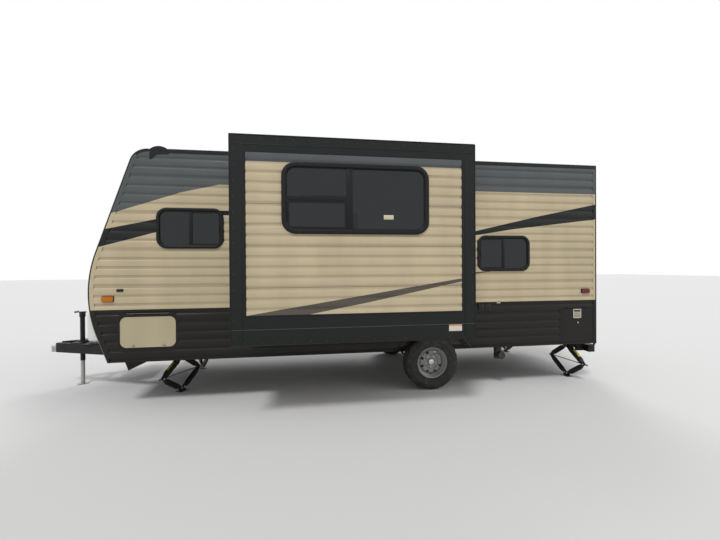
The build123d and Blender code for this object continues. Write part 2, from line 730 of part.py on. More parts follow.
def stabiliser_bracket():
    """The top plate, two cheeks and pins that hang a stabiliser from the chassis."""
    width = ARM_OFFSET + ARM_HALF
    reach = BRACKET_INSIDE + ARM_PLATE
    length = width + PLATE_REACH
    pieces = [block(-length, length, -reach, reach, RAIL_BOTTOM, RAIL_BOTTOM + PLATE_THICK)]
    for y0 in (-reach, BRACKET_INSIDE):
        pieces.append(block(-width, width, y0, y0 + ARM_PLATE, ARM_TOP - ARM_HALF, RAIL_BOTTOM + 1))
    for pivot in (-ARM_OFFSET, ARM_OFFSET):
        pieces.append(rod(STAB_PIN, (pivot, -reach, ARM_TOP), (pivot, reach, ARM_TOP)))
    return joined(pieces)


def arm_angle():
    """Angle of the arms below level at rest."""
    return math.asin((ARM_TOP - ARM_FOOT) / (2 * ARM_LENGTH))


def arm_plates(inside, web_side, pin_at_end):
    """An arm along X from its first pivot: two plates, a web, and pins or holes at its ends."""
    pieces = []
    outline = Pos(ARM_LENGTH / 2, 0) * SlotCenterToCenter(ARM_LENGTH, 2 * ARM_HALF)
    for cheek in (-1, 1):
        near, far = cheek * inside, cheek * (inside + ARM_PLATE)
        pieces.append(prism(outline, min(near, far), max(near, far)))
    web_z = web_side * (ARM_HALF - ARM_PLATE / 2)
    pieces.append(
        block(
            ARM_WEB[0], ARM_LENGTH - ARM_WEB[1], -inside - ARM_PLATE, inside + ARM_PLATE,
            web_z - ARM_PLATE / 2, web_z + ARM_PLATE / 2,
        )
    )
    arm = joined(pieces)
    hole = STAB_PIN + STAB_PIN_CLEARANCE
    reach = inside + 2 * ARM_PLATE
    arm = arm - rod(hole, (0, -reach, 0), (0, reach, 0))
    if pin_at_end:
        for cheek in (-1, 1):
            near = cheek * (LOWER_ARM_INSIDE - ARM_PLATE / 2)
            far = cheek * (inside + ARM_PLATE)
            arm = arm + rod(STAB_PIN, (ARM_LENGTH, near, 0), (ARM_LENGTH, far, 0))
    else:
        arm = arm - rod(hole, (ARM_LENGTH, -reach, 0), (ARM_LENGTH, reach, 0))
    return arm


def stabiliser_foot():
    """The foot pad of a stabiliser, with the lugs and pins of its lower arms."""
    length, width, thick = FOOT_PAD
    lug_half = ARM_OFFSET + ARM_HALF
    reach = UPPER_ARM_INSIDE + ARM_PLATE
    foot = block(-length, length, -width, width, 0, thick)
    for y0 in (-reach, UPPER_ARM_INSIDE):
        foot = foot + block(
            -lug_half, lug_half, y0, y0 + ARM_PLATE, thick - 1, ARM_FOOT + ARM_HALF / 2
        )
    for pivot in (-ARM_OFFSET, ARM_OFFSET):
        foot = foot + rod(STAB_PIN, (pivot, -reach, ARM_FOOT), (pivot, reach, ARM_FOOT))
    return foot


def stabiliser_screw(knuckle_x, z):
    """The screw between the knuckles, with its nut and its crank end."""
    nut = LOWER_ARM_INSIDE - ARM_PLATE / 2 - STAB_PIN_CLEARANCE
    end = knuckle_x + SCREW_OUTSIDE
    screw = rod(SCREW_RADIUS, (-knuckle_x - SCREW_INSIDE, 0, z), (end, 0, z))
    screw = screw + rod(NUT_RADIUS, (knuckle_x, -nut, z), (knuckle_x, nut, z))
    return screw + rod(NUT_RADIUS + 1, (end - 20, 0, z), (end, 0, z))


def stabiliser_parts():
    """The six moving pieces of a stabiliser, in the plane of its own X and Z."""
    angle = arm_angle()
    degrees = math.degrees(angle)
    knuckle_x = ARM_OFFSET + ARM_LENGTH * math.cos(angle)
    knuckle_z = ARM_TOP - ARM_LENGTH * math.sin(angle)
    upper = Pos(ARM_OFFSET, 0, ARM_TOP) * Rot(0, degrees, 0)
    upper = upper * arm_plates(UPPER_ARM_INSIDE, 1, True)
    lower = Pos(ARM_OFFSET, 0, ARM_FOOT) * Rot(0, -degrees, 0)
    lower = lower * arm_plates(LOWER_ARM_INSIDE, -1, False)
    return {
        "upper_arm_out": upper,
        "upper_arm_in": mirror(upper, Plane.YZ),
        "lower_arm_out": lower,
        "lower_arm_in": mirror(lower, Plane.YZ),
        "foot": stabiliser_foot(),
        "screw": stabiliser_screw(knuckle_x, knuckle_z),
    }


def rear_bumper():
    """Square tube across the rear, capped at its ends, on two drop plates."""
    x0 = BODY_LENGTH + BUMPER_GAP
    low = BUMPER_TOP - BUMPER_SIZE
    face = rounded(x0, x0 + BUMPER_SIZE, low, BUMPER_TOP, BUMPER_CORNER)
    pieces = [prism(face, -BUMPER_HALF, BUMPER_HALF)]
    for side in (-1, 1):
        y0 = side * RAIL_CENTRE - RAIL_WIDTH / 2
        pieces.append(block(x0 - 100, x0 + 1, y0, y0 + RAIL_WIDTH, low, RAIL_BOTTOM + 1))
    return pieces


def step_brackets():
    """The two plates that carry the entry step's pins."""
    pieces = []
    gap = 4
    for x, inward in ((STEP_FRONT_X, 1), (STEP_REAR_X, -1)):
        outer = x - inward * (STEP_BRACKET + gap)
        near = x - inward * gap
        pieces.append(
            block(
                min(outer, near), max(outer, near), RAIL_OUTER - 1, STEP_AXIS_Y + 20,
                STEP_AXIS_Z - 20, FLOOR_BOTTOM,
            )
        )
        start = (outer, STEP_AXIS_Y, STEP_AXIS_Z)
        end = (x + inward * 20, STEP_AXIS_Y, STEP_AXIS_Z)
        pieces.append(rod(STEP_PIN, start, end))
    return pieces


def tongue_plates():
    """The plate under the tongue jack and the tray for the bottles and the battery."""
    low, high = TONGUE_TOP - 1, TONGUE_TOP + TRAY_THICK
    half_length, half_width = TONGUE_PLATE
    x = TONGUE_JACK_X
    plate = block(x - half_length, x + half_length, -half_width, half_width, low, high)
    plate = plate - rod(JACK_TUBE_RADIUS, (x, 0, 0), (x, 0, JACK_TUBE_HEAD))
    x0, x1, half_tray = TRAY
    return [plate, block(x0, x1, -half_tray, half_tray, low, high)]


def chassis_frame():
    """Rails, cross-members, A-frame, outriggers, brackets and bumper, welded together."""
    pieces = [channel_rail(-1), channel_rail(1)]
    for x in CROSS_PLACES:
        depth = RAIL_DEPTH if x in DEEP_CROSS_PLACES else CROSS_DEPTH
        pieces.append(
            block(
                x - CROSS_WIDTH / 2, x + CROSS_WIDTH / 2, -RAIL_OUTER + 1, RAIL_OUTER - 1,
                FLOOR_BOTTOM - depth, FLOOR_BOTTOM,
            )
        )
    for side in (-1, 1):
        pieces.append(tongue_rail(side))
        pieces.append(gusset(side))
        pieces += spring_hangers(side)
        for x in OUTRIGGER_PLACES:
            pieces.append(outrigger(side, x))
        for end in STABILISERS:
            pieces.append(stabiliser_place(end, side) * stabiliser_bracket())
    return joined(pieces + rear_bumper() + step_brackets() + tongue_plates())


def coupler():
    """Ball coupler on the point of the A-frame, with its socket and latch lever."""
    socket_x = COUPLER_HEAD - TONGUE_REACH
    low = RAIL_BOTTOM
    high = low + COUPLER_HEIGHT
    head = rod(COUPLER_HEAD, (socket_x, 0, low), (socket_x, 0, high))
    head = fillet(head.edges().sort_by(Axis.Z)[-1], COUPLER_HEAD / 3)
    neck = block(socket_x, TONGUE_TIP_X + 12, -COUPLER_HEAD, COUPLER_HEAD, low, high - COUPLER_HEAD / 3)
    back = block(TONGUE_TIP_X - 8, TONGUE_TIP_X + 12, -TONGUE_TIP_Y - 8, TONGUE_TIP_Y + 8, low, high)
    start, end, half, rise = COUPLER_LEVER
    lever = block(socket_x + start, socket_x + end, -half, half, high - COUPLER_HEAD / 3 - 1, high + rise)
    socket = rod(BALL_SOCKET_RADIUS, (socket_x, 0, low), (socket_x, 0, low + BALL_SOCKET_DEPTH))
    dome = Pos(socket_x, 0, low + BALL_SOCKET_DEPTH) * Sphere(BALL_SOCKET_RADIUS)
    beams = tongue_rail(-1) + tongue_rail(1)
    return head + neck + back + lever - socket - dome - beams


def tongue_jack():
    """The fixed outer tube with its gear head and crank, and the sliding leg."""
    x = TONGUE_JACK_X
    bore = JACK_TUBE_RADIUS - JACK_TUBE_WALL
    top = JACK_TUBE_HEAD
    seat = TONGUE_TOP + TRAY_THICK

    def upright(radius, low, high):
        return rod(radius, (x, 0, low), (x, 0, high))

    tube = upright(JACK_TUBE_RADIUS, JACK_TUBE_FOOT, top) + upright(JACK_FLANGE_RADIUS, seat, seat + 10)
    tube = tube + upright(JACK_HEAD_RADIUS, top - 60, top + 12)
    tube = tube - upright(bore, JACK_TUBE_FOOT - 1, top - 15)
    crank_z = top - 5
    elbow = CRANK_REACH - CRANK_RADIUS + 1
    shaft = rod(CRANK_RADIUS, (x, JACK_TUBE_RADIUS, crank_z), (x, CRANK_REACH, crank_z))
    arm = rod(CRANK_RADIUS, (x, elbow, crank_z), (x - CRANK_ARM, elbow, crank_z))
    grip_x = x - CRANK_ARM + CRANK_RADIUS - 1
    grip = rod(CRANK_RADIUS + 5, (grip_x, elbow - 4, crank_z), (grip_x, elbow + 86, crank_z))
    leg = upright(bore - JACK_LEG_CLEARANCE, JACK_LEG_FOOT - 2, JACK_LEG_TOP)
    foot = upright(JACK_FOOT_RADIUS, 0, JACK_LEG_FOOT)
    return tube + shaft + arm + grip, leg + foot


def leaf_spring(side):
    """Stack of leaves over the axle, rising to an eye at each end."""
    base = TYRE_RADIUS + AXLE_RADIUS
    y0 = side * RAIL_CENTRE - SPRING_WIDTH / 2
    y1 = y0 + SPRING_WIDTH
    pieces = []
    for layer, share in ((0, 0.45), (1, 0.72), (2, 1.0)):
        half = SPRING_HALF * share
        rise = SPRING_RISE * share * share
        low = base + layer * LEAF_THICK
        lower = ThreePointArc((-half, low + rise), (0, low), (half, low + rise))
        top = low + LEAF_THICK
        upper = ThreePointArc((half, top + rise), (0, top), (-half, top + rise))
        ends = [
            Line((half, low + rise), (half, top + rise)),
            Line((-half, top + rise), (-half, low + rise)),
        ]
        leaf = make_face([lower, ends[0], upper, ends[1]])
        pieces.append(Pos(AXLE_X, 0, 0) * prism(leaf, y0, y1))
    eye_z = RAIL_BOTTOM - EYE_DROP - EYE_RADIUS
    for x in (AXLE_X - SPRING_HALF, AXLE_X + SPRING_HALF):
        pieces.append(rod(EYE_RADIUS, (x, y0, eye_z), (x, y1, eye_z)))
    return joined(pieces)


def axle_and_springs():
    """Axle tube with spindles, brake back plates, spring seats and leaf springs."""
    z = TYRE_RADIUS
    pieces = [rod(AXLE_RADIUS, (AXLE_X, -WHEEL_BOX_INSIDE, z), (AXLE_X, WHEEL_BOX_INSIDE, z))]
    for side in (-1, 1):
        inner = side * (WHEEL_BOX_INSIDE - 5)
        plate_start = side * (WHEEL_BOX_INSIDE + 4)
        plate_end = side * (WHEEL_BOX_INSIDE + 10)
        tip = side * (WHEEL_CENTRE + 20)
        pieces.append(rod(SPINDLE_RADIUS, (AXLE_X, inner, z), (AXLE_X, tip, z)))
        pieces.append(rod(DRUM_RADIUS, (AXLE_X, plate_start, z), (AXLE_X, plate_end, z)))
        pieces.append(leaf_spring(side))
        y0 = side * RAIL_CENTRE
        seat_top = z + AXLE_RADIUS + 3 * LEAF_THICK + 6
        pieces.append(block(AXLE_X - 45, AXLE_X + 45, y0 - 28, y0 + 28, z - 20, seat_top))
    return joined(pieces)


def tyre():
    """A tyre standing on its tread, wheel centre at the origin, axle along Y."""
    half = TYRE_WIDTH / 2
    bead = RIM_WIDTH / 2
    wall = (RIM_RADIUS + TYRE_RADIUS) / 2
    shoulder = TYRE_RADIUS - 30
    edge = half - 16
    tread = half - 44
    lines = [Line((RIM_RADIUS, -bead), (RIM_RADIUS, bead)), Line((TYRE_RADIUS, -tread), (TYRE_RADIUS, tread))]
    for side in (-1, 1):
        lines.append(
            ThreePointArc((RIM_RADIUS, side * bead), (wall, side * half), (shoulder, side * edge))
        )
        lines.append(
            ThreePointArc(
                (shoulder, side * edge), (TYRE_RADIUS - 9, side * (half - 28)), (TYRE_RADIUS, side * tread)
            )
        )
    return revolve(make_face(lines), Axis.Y)


def rim():
    """Pressed steel wheel with a drum and hub behind it; outwards is +Y."""
    bead = RIM_WIDTH / 2
    sheet = RIM_SHELL

    # Barrel: radius and place along the axle, over the lips, bead seats and well
    outside = [
        (RIM_RADIUS + 11, bead + 11.5), (RIM_RADIUS - 0.5, bead), (RIM_RADIUS - 0.5, bead - 26),
        (RIM_RADIUS - 24, bead - 46), (RIM_RADIUS - 24, -10), (RIM_RADIUS - 0.5, -34),
        (RIM_RADIUS - 0.5, -bead), (RIM_RADIUS + 11, -bead - 11.5),
    ]
    inside = [
        (RIM_RADIUS + 11, -bead - 17.5), (RIM_RADIUS - 6, -bead - 4), (RIM_RADIUS - 6, -38),
        (RIM_RADIUS - 30, -14), (RIM_RADIUS - 30, bead - 43), (RIM_RADIUS - 6, bead - 22),
        (RIM_RADIUS - 6, bead + 4), (RIM_RADIUS + 11, bead + 17.5),
    ]
    barrel = revolve(polygon(outside + inside), Axis.Y)

    # Disc: radius and place along the axle of its outer face, from the barrel to the middle
    face = [(RIM_RADIUS - 27, 22), (148, 38), (128, 46), (106, 42), (88, 24), (10, 24)]
    back = [(radius, place - sheet) for radius, place in reversed(face)]
    disc = revolve(polygon(face + back), Axis.Y)
    for turn in range(RIM_HOLES):
        angle = 2 * math.pi * (turn + 0.5) / RIM_HOLES
        x, z = RIM_HOLE_CIRCLE * math.cos(angle), RIM_HOLE_CIRCLE * math.sin(angle)
        disc = disc - rod(RIM_HOLE_RADIUS, (x, 0, z), (x, RIM_WIDTH, z))

    start = WHEEL_BOX_INSIDE + 15 - WHEEL_CENTRE
    drum = rod(DRUM_RADIUS - 5, (0, start, 0), (0, start + DRUM_DEPTH, 0))
    hub = rod(HUB_RADIUS, (0, start, 0), (0, 22, 0)) + rod(HUB_CAP_RADIUS, (0, 20, 0), (0, 58, 0))
    hub = fillet(hub.edges().sort_by(Axis.Y)[-1], 12)
    bore = rod(SPINDLE_RADIUS + BEARING_CLEARANCE, (0, start - 1, 0), (0, 30, 0))
    return barrel + disc + drum + hub - bore


def wheel_place(side):
    """Where a wheel sits; its outer face looks away from the trailer."""
    return Location((AXLE_X, side * WHEEL_CENTRE, TYRE_RADIUS), (0, 0, 0 if side > 0 else 180))


def slide_room():
    """Shell, face, fascia, window frame and panes of the slide-out room."""
    back = HALF_WIDTH - WALL_THICK - SLIDE_ENGAGED
    face_plane = SLIDE_FACE
    shell_end = face_plane - FASCIA_THICK - SLIDE_PANEL
    outer = block(SLIDE_FRONT_X, SLIDE_REAR_X, -shell_end, -back, SLIDE_BOTTOM, SLIDE_TOP)
    inner = block(
        SLIDE_FRONT_X + SLIDE_PANEL, SLIDE_REAR_X - SLIDE_PANEL, -shell_end, -back,
        SLIDE_BOTTOM + SLIDE_PANEL, SLIDE_TOP - SLIDE_PANEL,
    )
    shell = outer - inner
    x0, x1, z0, z1, radius = SLIDE_WINDOW
    bars = (
        (SLIDE_MULLION[0], SLIDE_MULLION[1], z0, z1),
        (x0, SLIDE_MULLION[0] + 1, SLIDE_SASH_BAR[0], SLIDE_SASH_BAR[1]),
    )
    thickness = FASCIA_THICK + SLIDE_PANEL
    hole, frame, panes = window(-1, x0, x1, z0, z1, radius, face_plane, thickness, bars)
    board = block(
        SLIDE_FRONT_X, SLIDE_REAR_X, -face_plane + FASCIA_THICK, -shell_end, SLIDE_BOTTOM, SLIDE_TOP
    )
    skin = siding_wall(
        -1, face_plane, FASCIA_THICK + 1, CREAM_FRONT_X, CREAM_REAR_X, CREAM_BOTTOM, CREAM_TOP
    )
    face = board + skin - hole
    plate = rounded(
        SLIDE_FRONT_X - FASCIA_SIDE, SLIDE_REAR_X + FASCIA_SIDE,
        SLIDE_BOTTOM - FASCIA_BOTTOM, SLIDE_TOP + FASCIA_TOP, 12,
    )
    gap = Pos((CREAM_FRONT_X + CREAM_REAR_X) / 2, (CREAM_BOTTOM + CREAM_TOP) / 2) * Rectangle(
        CREAM_REAR_X - CREAM_FRONT_X, CREAM_TOP - CREAM_BOTTOM
    )
    fascia = wall_prism(plate - gap, -1, -FASCIA_THICK, 0, face_plane)
    return shell, face, fascia, frame, panes


def entry_step():
    """A tread that lies upside down under the floor and swings out and over."""
    x0, x1 = STEP_FRONT_X, STEP_REAR_X
    inner = STEP_AXIS_Y - STEP_DEPTH
    base = STEP_AXIS_Z + STEP_SIDE_HALF - 10
    pieces = [block(x0, x1, inner, STEP_AXIS_Y - 30, base, base + STEP_TREAD)]
    for x in (x0, x1 - STEP_SIDE):
        pieces.append(
            block(
                x, x + STEP_SIDE, inner, STEP_AXIS_Y + STEP_SIDE_HALF,
                STEP_AXIS_Z - STEP_SIDE_HALF, STEP_AXIS_Z + STEP_SIDE_HALF,
            )
        )
    start = (x0 - 5, STEP_AXIS_Y, STEP_AXIS_Z)
    end = (x1 + 5, STEP_AXIS_Y, STEP_AXIS_Z)
    return joined(pieces) - rod(STEP_PIN + BEARING_CLEARANCE, start, end)


def storage_door(side, door, latches):
    """A top-hung storage door with its moving hinge halves and latches."""
    leaf = door_leaf(side, door)
    fixed, moving = top_hinges(side, door)
    for piece in moving:
        leaf = leaf + piece
    for x, z in latches:
        leaf = leaf + latch(side, x, z)
    return leaf, fixed


def entry_door():
    """Entry door on the kerb side, hinged at its front edge, with window and handle."""
    x0, _, z0, z1, _ = ENTRY_DOOR
    hole, frame, pane = window(1, *ENTRY_WINDOW, wall=DOOR_THICK)
    leaf = door_leaf(1, ENTRY_DOOR) - hole + frame
    fixed = []
    for z in (z0 + 150, (z0 + z1) / 2, z1 - 220):
        plane = Plane(
            origin=(x0 - DOOR_GAP / 2, HALF_WIDTH, z), x_dir=(1, 0, 0), z_dir=(0, 0, 1)
        )
        still, turning = hinge(plane)
        fixed.append(still)
        leaf = leaf + turning
    handle_x0, handle_x1, handle_z0, handle_z1 = ENTRY_HANDLE
    leaf = leaf + wall_prism(rounded(handle_x0, handle_x1, handle_z0, handle_z1, 10), 1, -1, 14)
    return leaf, pane, fixed


def edge_rail(side):
    """Roof rail along the top of a side wall, behind the nose curve."""
    return block(
        CAP_REAR_X - 10, BODY_LENGTH,
        min(side * HALF_INSIDE, side * (HALF_WIDTH + TRIM_PROUD)),
        max(side * HALF_INSIDE, side * (HALF_WIDTH + TRIM_PROUD)),
        ROOF_HEIGHT - RAIL_HEIGHT, ROOF_HEIGHT + 3,
    ) - block(0, BODY_LENGTH, -HALF_WIDTH, HALF_WIDTH, 0, ROOF_HEIGHT)


def nose_trim(side):
    """Thin corner trim that follows the edge of the nose."""
    band = body_outline() - offset(body_outline(WALL_BOTTOM - 2 * WALL_THICK), -NOSE_TRIM)
    strip = wall_prism(band, side, 0, TRIM_PROUD)
    y0, y1 = side * (HALF_WIDTH - 1), side * (HALF_WIDTH + TRIM_PROUD + 1)
    return strip & block(NOSE_TIP_X, CAP_FRONT_X, min(y0, y1), max(y0, y1), WALL_BOTTOM, ROOF_HEIGHT)


def rear_trim(side):
    """Thin corner trim down the rear edge of a side wall."""
    y0, y1 = side * HALF_WIDTH, side * (HALF_WIDTH + TRIM_PROUD)
    return block(
        BODY_LENGTH - REAR_TRIM, BODY_LENGTH, min(y0, y1), max(y0, y1), WALL_BOTTOM,
        ROOF_HEIGHT - RAIL_HEIGHT,
    )


def front_cap():
    """Rounded cap over the joint of the front wall and the roof."""
    half = HALF_WIDTH + TRIM_PROUD
    low = ROOF_HEIGHT - CAP_DROP
    section = make_face(
        [
            Line((CAP_FRONT_X, low), (CAP_REAR_X, low)),
            Line((CAP_REAR_X, low), (CAP_REAR_X, ROOF_HEIGHT)),
            ThreePointArc(
                (CAP_REAR_X, ROOF_HEIGHT),
                ((CAP_FRONT_X + CAP_REAR_X) / 2, ROOF_HEIGHT + CAP_RISE),
                (CAP_FRONT_X, low + CAP_EDGE),
            ),
            Line((CAP_FRONT_X, low + CAP_EDGE), (CAP_FRONT_X, low)),
        ]
    )
    cap = prism(section, -half, half)
    return cap - prism(body_outline(), -HALF_WIDTH, HALF_WIDTH)


def grab_handle():
    """Folding grab rail beside the entry door."""
    x = ENTRY_DOOR[1] + GRAB_RAIL_BEHIND_DOOR
    y = HALF_WIDTH + GRAB_RAIL_GAP
    low, high = GRAB_RAIL_LEVELS
    rail_radius, post_radius = GRAB_RAIL_RADII
    pieces = [rod(rail_radius, (x, y, low), (x, y, high))]
    for z in (low + GRAB_RAIL_POST_INSET, high - GRAB_RAIL_POST_INSET):
        pieces.append(rod(post_radius, (x, HALF_WIDTH, z), (x, y, z)))
    return joined(pieces)


def trims(fixed_hinges):
    """Edge trims, roof rails, front cap, gutters, grab rail and the hinge halves on the walls."""
    edges = [front_cap()]
    pieces = [grab_handle()]
    x0, x1, _, z1, _ = BAGGAGE_DOOR
    inset_front, inset_rear, lift, height, proud = GUTTER
    gutter = rounded(x0 + inset_front, x1 - inset_rear, z1 + lift, z1 + lift + height, 1)
    for side in (-1, 1):
        edges += [edge_rail(side), nose_trim(side), rear_trim(side)]
        pieces.append(wall_prism(gutter, side, 0, proud))
    return [joined(edges)] + pieces + fixed_hinges


def air_conditioner():
    """Roof air conditioner: a rounded, tapered shroud on a base, with slots along its rear half."""
    half_length, half_width = AIRCON_LENGTH / 2, AIRCON_WIDTH / 2
    top_z = ROOF_HEIGHT + AIRCON_HEIGHT
    low = Pos(AIRCON_X, 0, ROOF_HEIGHT + AIRCON_BASE) * RectangleRounded(
        AIRCON_LENGTH, AIRCON_WIDTH, AIRCON_CORNER
    )
    high = Pos(AIRCON_X, 0, top_z) * RectangleRounded(
        AIRCON_LENGTH - 2 * AIRCON_TAPER, AIRCON_WIDTH - 1.5 * AIRCON_TAPER, AIRCON_CORNER
    )
    shroud = loft([low, high])
    shroud = fillet(shroud.faces().sort_by(Axis.Z)[-1].edges(), AIRCON_TOP_CORNER)
    inset = AIRCON_BASE_INSET
    footprint = RectangleRounded(AIRCON_LENGTH - 2 * inset, AIRCON_WIDTH - 2 * inset, 60)
    base = Pos(AIRCON_X, 0, ROOF_HEIGHT) * extrude(footprint, AIRCON_BASE + 1)
    unit = shroud + base
    foot = AIRCON_BASE + AIRCON_SLOT_FOOT
    pitch = (AIRCON_HEIGHT - foot - AIRCON_SLOT_HEAD) / AIRCON_SLOTS
    x0, x1 = AIRCON_X + AIRCON_SLOT_START, AIRCON_X + half_length - AIRCON_SLOT_END
    for slot in range(AIRCON_SLOTS):
        z = ROOF_HEIGHT + foot + slot * pitch
        for side in (-1, 1):
            near, far = sorted((side * (half_width - AIRCON_TAPER), side * (half_width + 1)))
            unit = unit - block(x0, x1, near, far, z, z + pitch / 2)
    return unit


def roof_vent(x):
    """A flanged roof vent with its rounded lid shut."""
    half = ROOF_VENT_HALF
    border, thick = ROOF_VENT_FLANGE
    reach = half + border
    side_corner, top_corner = ROOF_VENT_CORNERS
    flange = block(x - reach, x + reach, -reach, reach, ROOF_HEIGHT, ROOF_HEIGHT + thick)
    lid = block(x - half, x + half, -half, half, ROOF_HEIGHT + 1, ROOF_HEIGHT + ROOF_VENT_HEIGHT)
    lid = fillet(lid.edges().filter_by(Axis.Z), side_corner)
    lid = fillet(lid.faces().sort_by(Axis.Z)[-1].edges(), top_corner)
    return flange + lid


def waste_outlet():
    """The valve body that comes down from the floor, and its pipe outwards with a cap."""
    x, away, z = WASTE_PIPE
    cap_radius, cap_length = WASTE_CAP
    end = HALF_WIDTH - 15
    valve = rod(WASTE_VALVE_RADIUS, (x, -away, z - WASTE_VALVE_DROP), (x, -away, FLOOR_BOTTOM))
    pipe = rod(WASTE_PIPE_RADIUS, (x, -away, z), (x, -end, z))
    cap = rod(cap_radius, (x, -end + cap_length, z), (x, -end, z))
    return valve + pipe + cap


def vents_and_hatches():
    """Roof vents, pipe vents, the covers on the side walls, and the waste outlet."""
    pieces = [roof_vent(x) for x in ROOF_VENT_PLACES]
    for x, y in PIPE_VENTS:
        top = ROOF_HEIGHT + PIPE_VENT_HEIGHT
        pipe = rod(PIPE_VENT_PIPE, (x, y, ROOF_HEIGHT), (x, y, top - PIPE_VENT_CAP / 2))
        pieces.append(pipe + rod(PIPE_VENT_RADIUS, (x, y, top - PIPE_VENT_CAP), (x, y, top)))
    for side, x0, x1, z0, z1, radius, proud in WALL_COVERS:
        pieces.append(wall_prism(rounded(x0, x1, z0, z1, radius), side, 0, proud))
    return pieces + [waste_outlet()]


def marker_lamps(marker):
    """A marker lamp on each side wall, from its x from, x to, z from and z to."""
    face = rounded(*marker, MARKER_CORNER)
    return [wall_prism(face, side, 0, MARKER_DEPTH) for side in (-1, 1)]


def rear_lamps():
    """Tail lamps and the row of small lamps high on the rear wall."""
    y0, y1, z0, z1 = TAIL_LAMP
    pieces = []
    for near, far in ((-y1, -y0), (y0, y1)):
        pieces.append(block(BODY_LENGTH, BODY_LENGTH + TAIL_LAMP_DEPTH, near, far, z0, z1))
    for y in HIGH_LAMP_PLACES:
        pieces.append(
            block(
                BODY_LENGTH, BODY_LENGTH + HIGH_LAMP_DEPTH, y - HIGH_LAMP_HALF, y + HIGH_LAMP_HALF,
                HIGH_LAMP_TOP - HIGH_LAMP_HEIGHT, HIGH_LAMP_TOP,
            )
        )
    return pieces


def awning():
    """Rolled awning under the roof edge, with its arms folded against the wall."""
    y = HALF_WIDTH + AWNING_GAP + AWNING_RADIUS
    z = AWNING_HEIGHT
    half = AWNING_ARM_HALF
    pieces = [rod(AWNING_ROLL, (AWNING_FRONT_X, y, z), (AWNING_REAR_X, y, z))]
    for x in (AWNING_FRONT_X, AWNING_REAR_X):
        pieces.append(rod(AWNING_RADIUS, (x - half, y, z), (x + half, y, z)))
        pieces.append(
            block(x - half, x + half, HALF_WIDTH, HALF_WIDTH + AWNING_ARM_DEPTH, AWNING_ARM_FOOT, z)
        )
    return joined(pieces)


def gas_bottle(y):
    """A gas bottle on its foot ring, with a collar round its valve."""
    floor = TONGUE_TOP + TRAY_THICK
    top = floor + BOTTLE_HEIGHT

    def upright(radius, low, high):
        return rod(radius, (BOTTLE_X, y, low), (BOTTLE_X, y, high))

    shell = upright(BOTTLE_RADIUS, floor + 15, top)
    shell = fillet(shell.edges(), BOTTLE_CORNER)
    foot = upright(COLLAR_RADIUS, floor, floor + BOTTLE_FOOT_RING)
    collar = upright(COLLAR_RADIUS, top - 5, top + COLLAR_HEIGHT)
    collar = collar - upright(COLLAR_RADIUS - COLLAR_SHEET, top - 6, top + COLLAR_HEIGHT + 1)
    half = COLLAR_OPENING_HALF
    opening = block(
        BOTTLE_X - COLLAR_RADIUS - 1, BOTTLE_X, y - half, y + half, top + 20, top + COLLAR_HEIGHT + 1
    )
    stem_radius, stem_height = VALVE_STEM
    knob_radius, knob_low, knob_high = VALVE_KNOB
    valve = upright(stem_radius, top - 5, top + stem_height)
    valve = valve + upright(knob_radius, top + knob_low, top + knob_high)
    return shell + foot + (collar - opening) + valve


def gas_bottles():
    """Two gas bottles side by side on the tongue, held down by a bar between them."""
    floor = TONGUE_TOP + TRAY_THICK
    bar_z = floor + BOTTLE_HEIGHT - 4
    half, thick, inset = BOTTLE_BAR
    reach = BOTTLE_Y - inset
    pieces = [gas_bottle(-BOTTLE_Y), gas_bottle(BOTTLE_Y)]
    pieces.append(rod(BOTTLE_ROD_RADIUS, (BOTTLE_X, 0, floor), (BOTTLE_X, 0, bar_z + 40)))
    pieces.append(block(BOTTLE_X - half, BOTTLE_X + half, -reach, reach, bar_z, bar_z + thick))
    return joined(pieces)


def battery_box():
    """Lidded battery box on the tongue tray."""
    x0, x1, half, height = BATTERY_BOX
    reach, rise = BATTERY_LID
    floor = TONGUE_TOP + TRAY_THICK
    top = floor + height
    lid = block(x0 - reach, x1 + reach, -half - reach, half + reach, top - 10, top + rise)
    lid = fillet(lid.faces().sort_by(Axis.Z)[-1].edges(), 10)
    return block(x0, x1, -half, half, floor, top) + lid


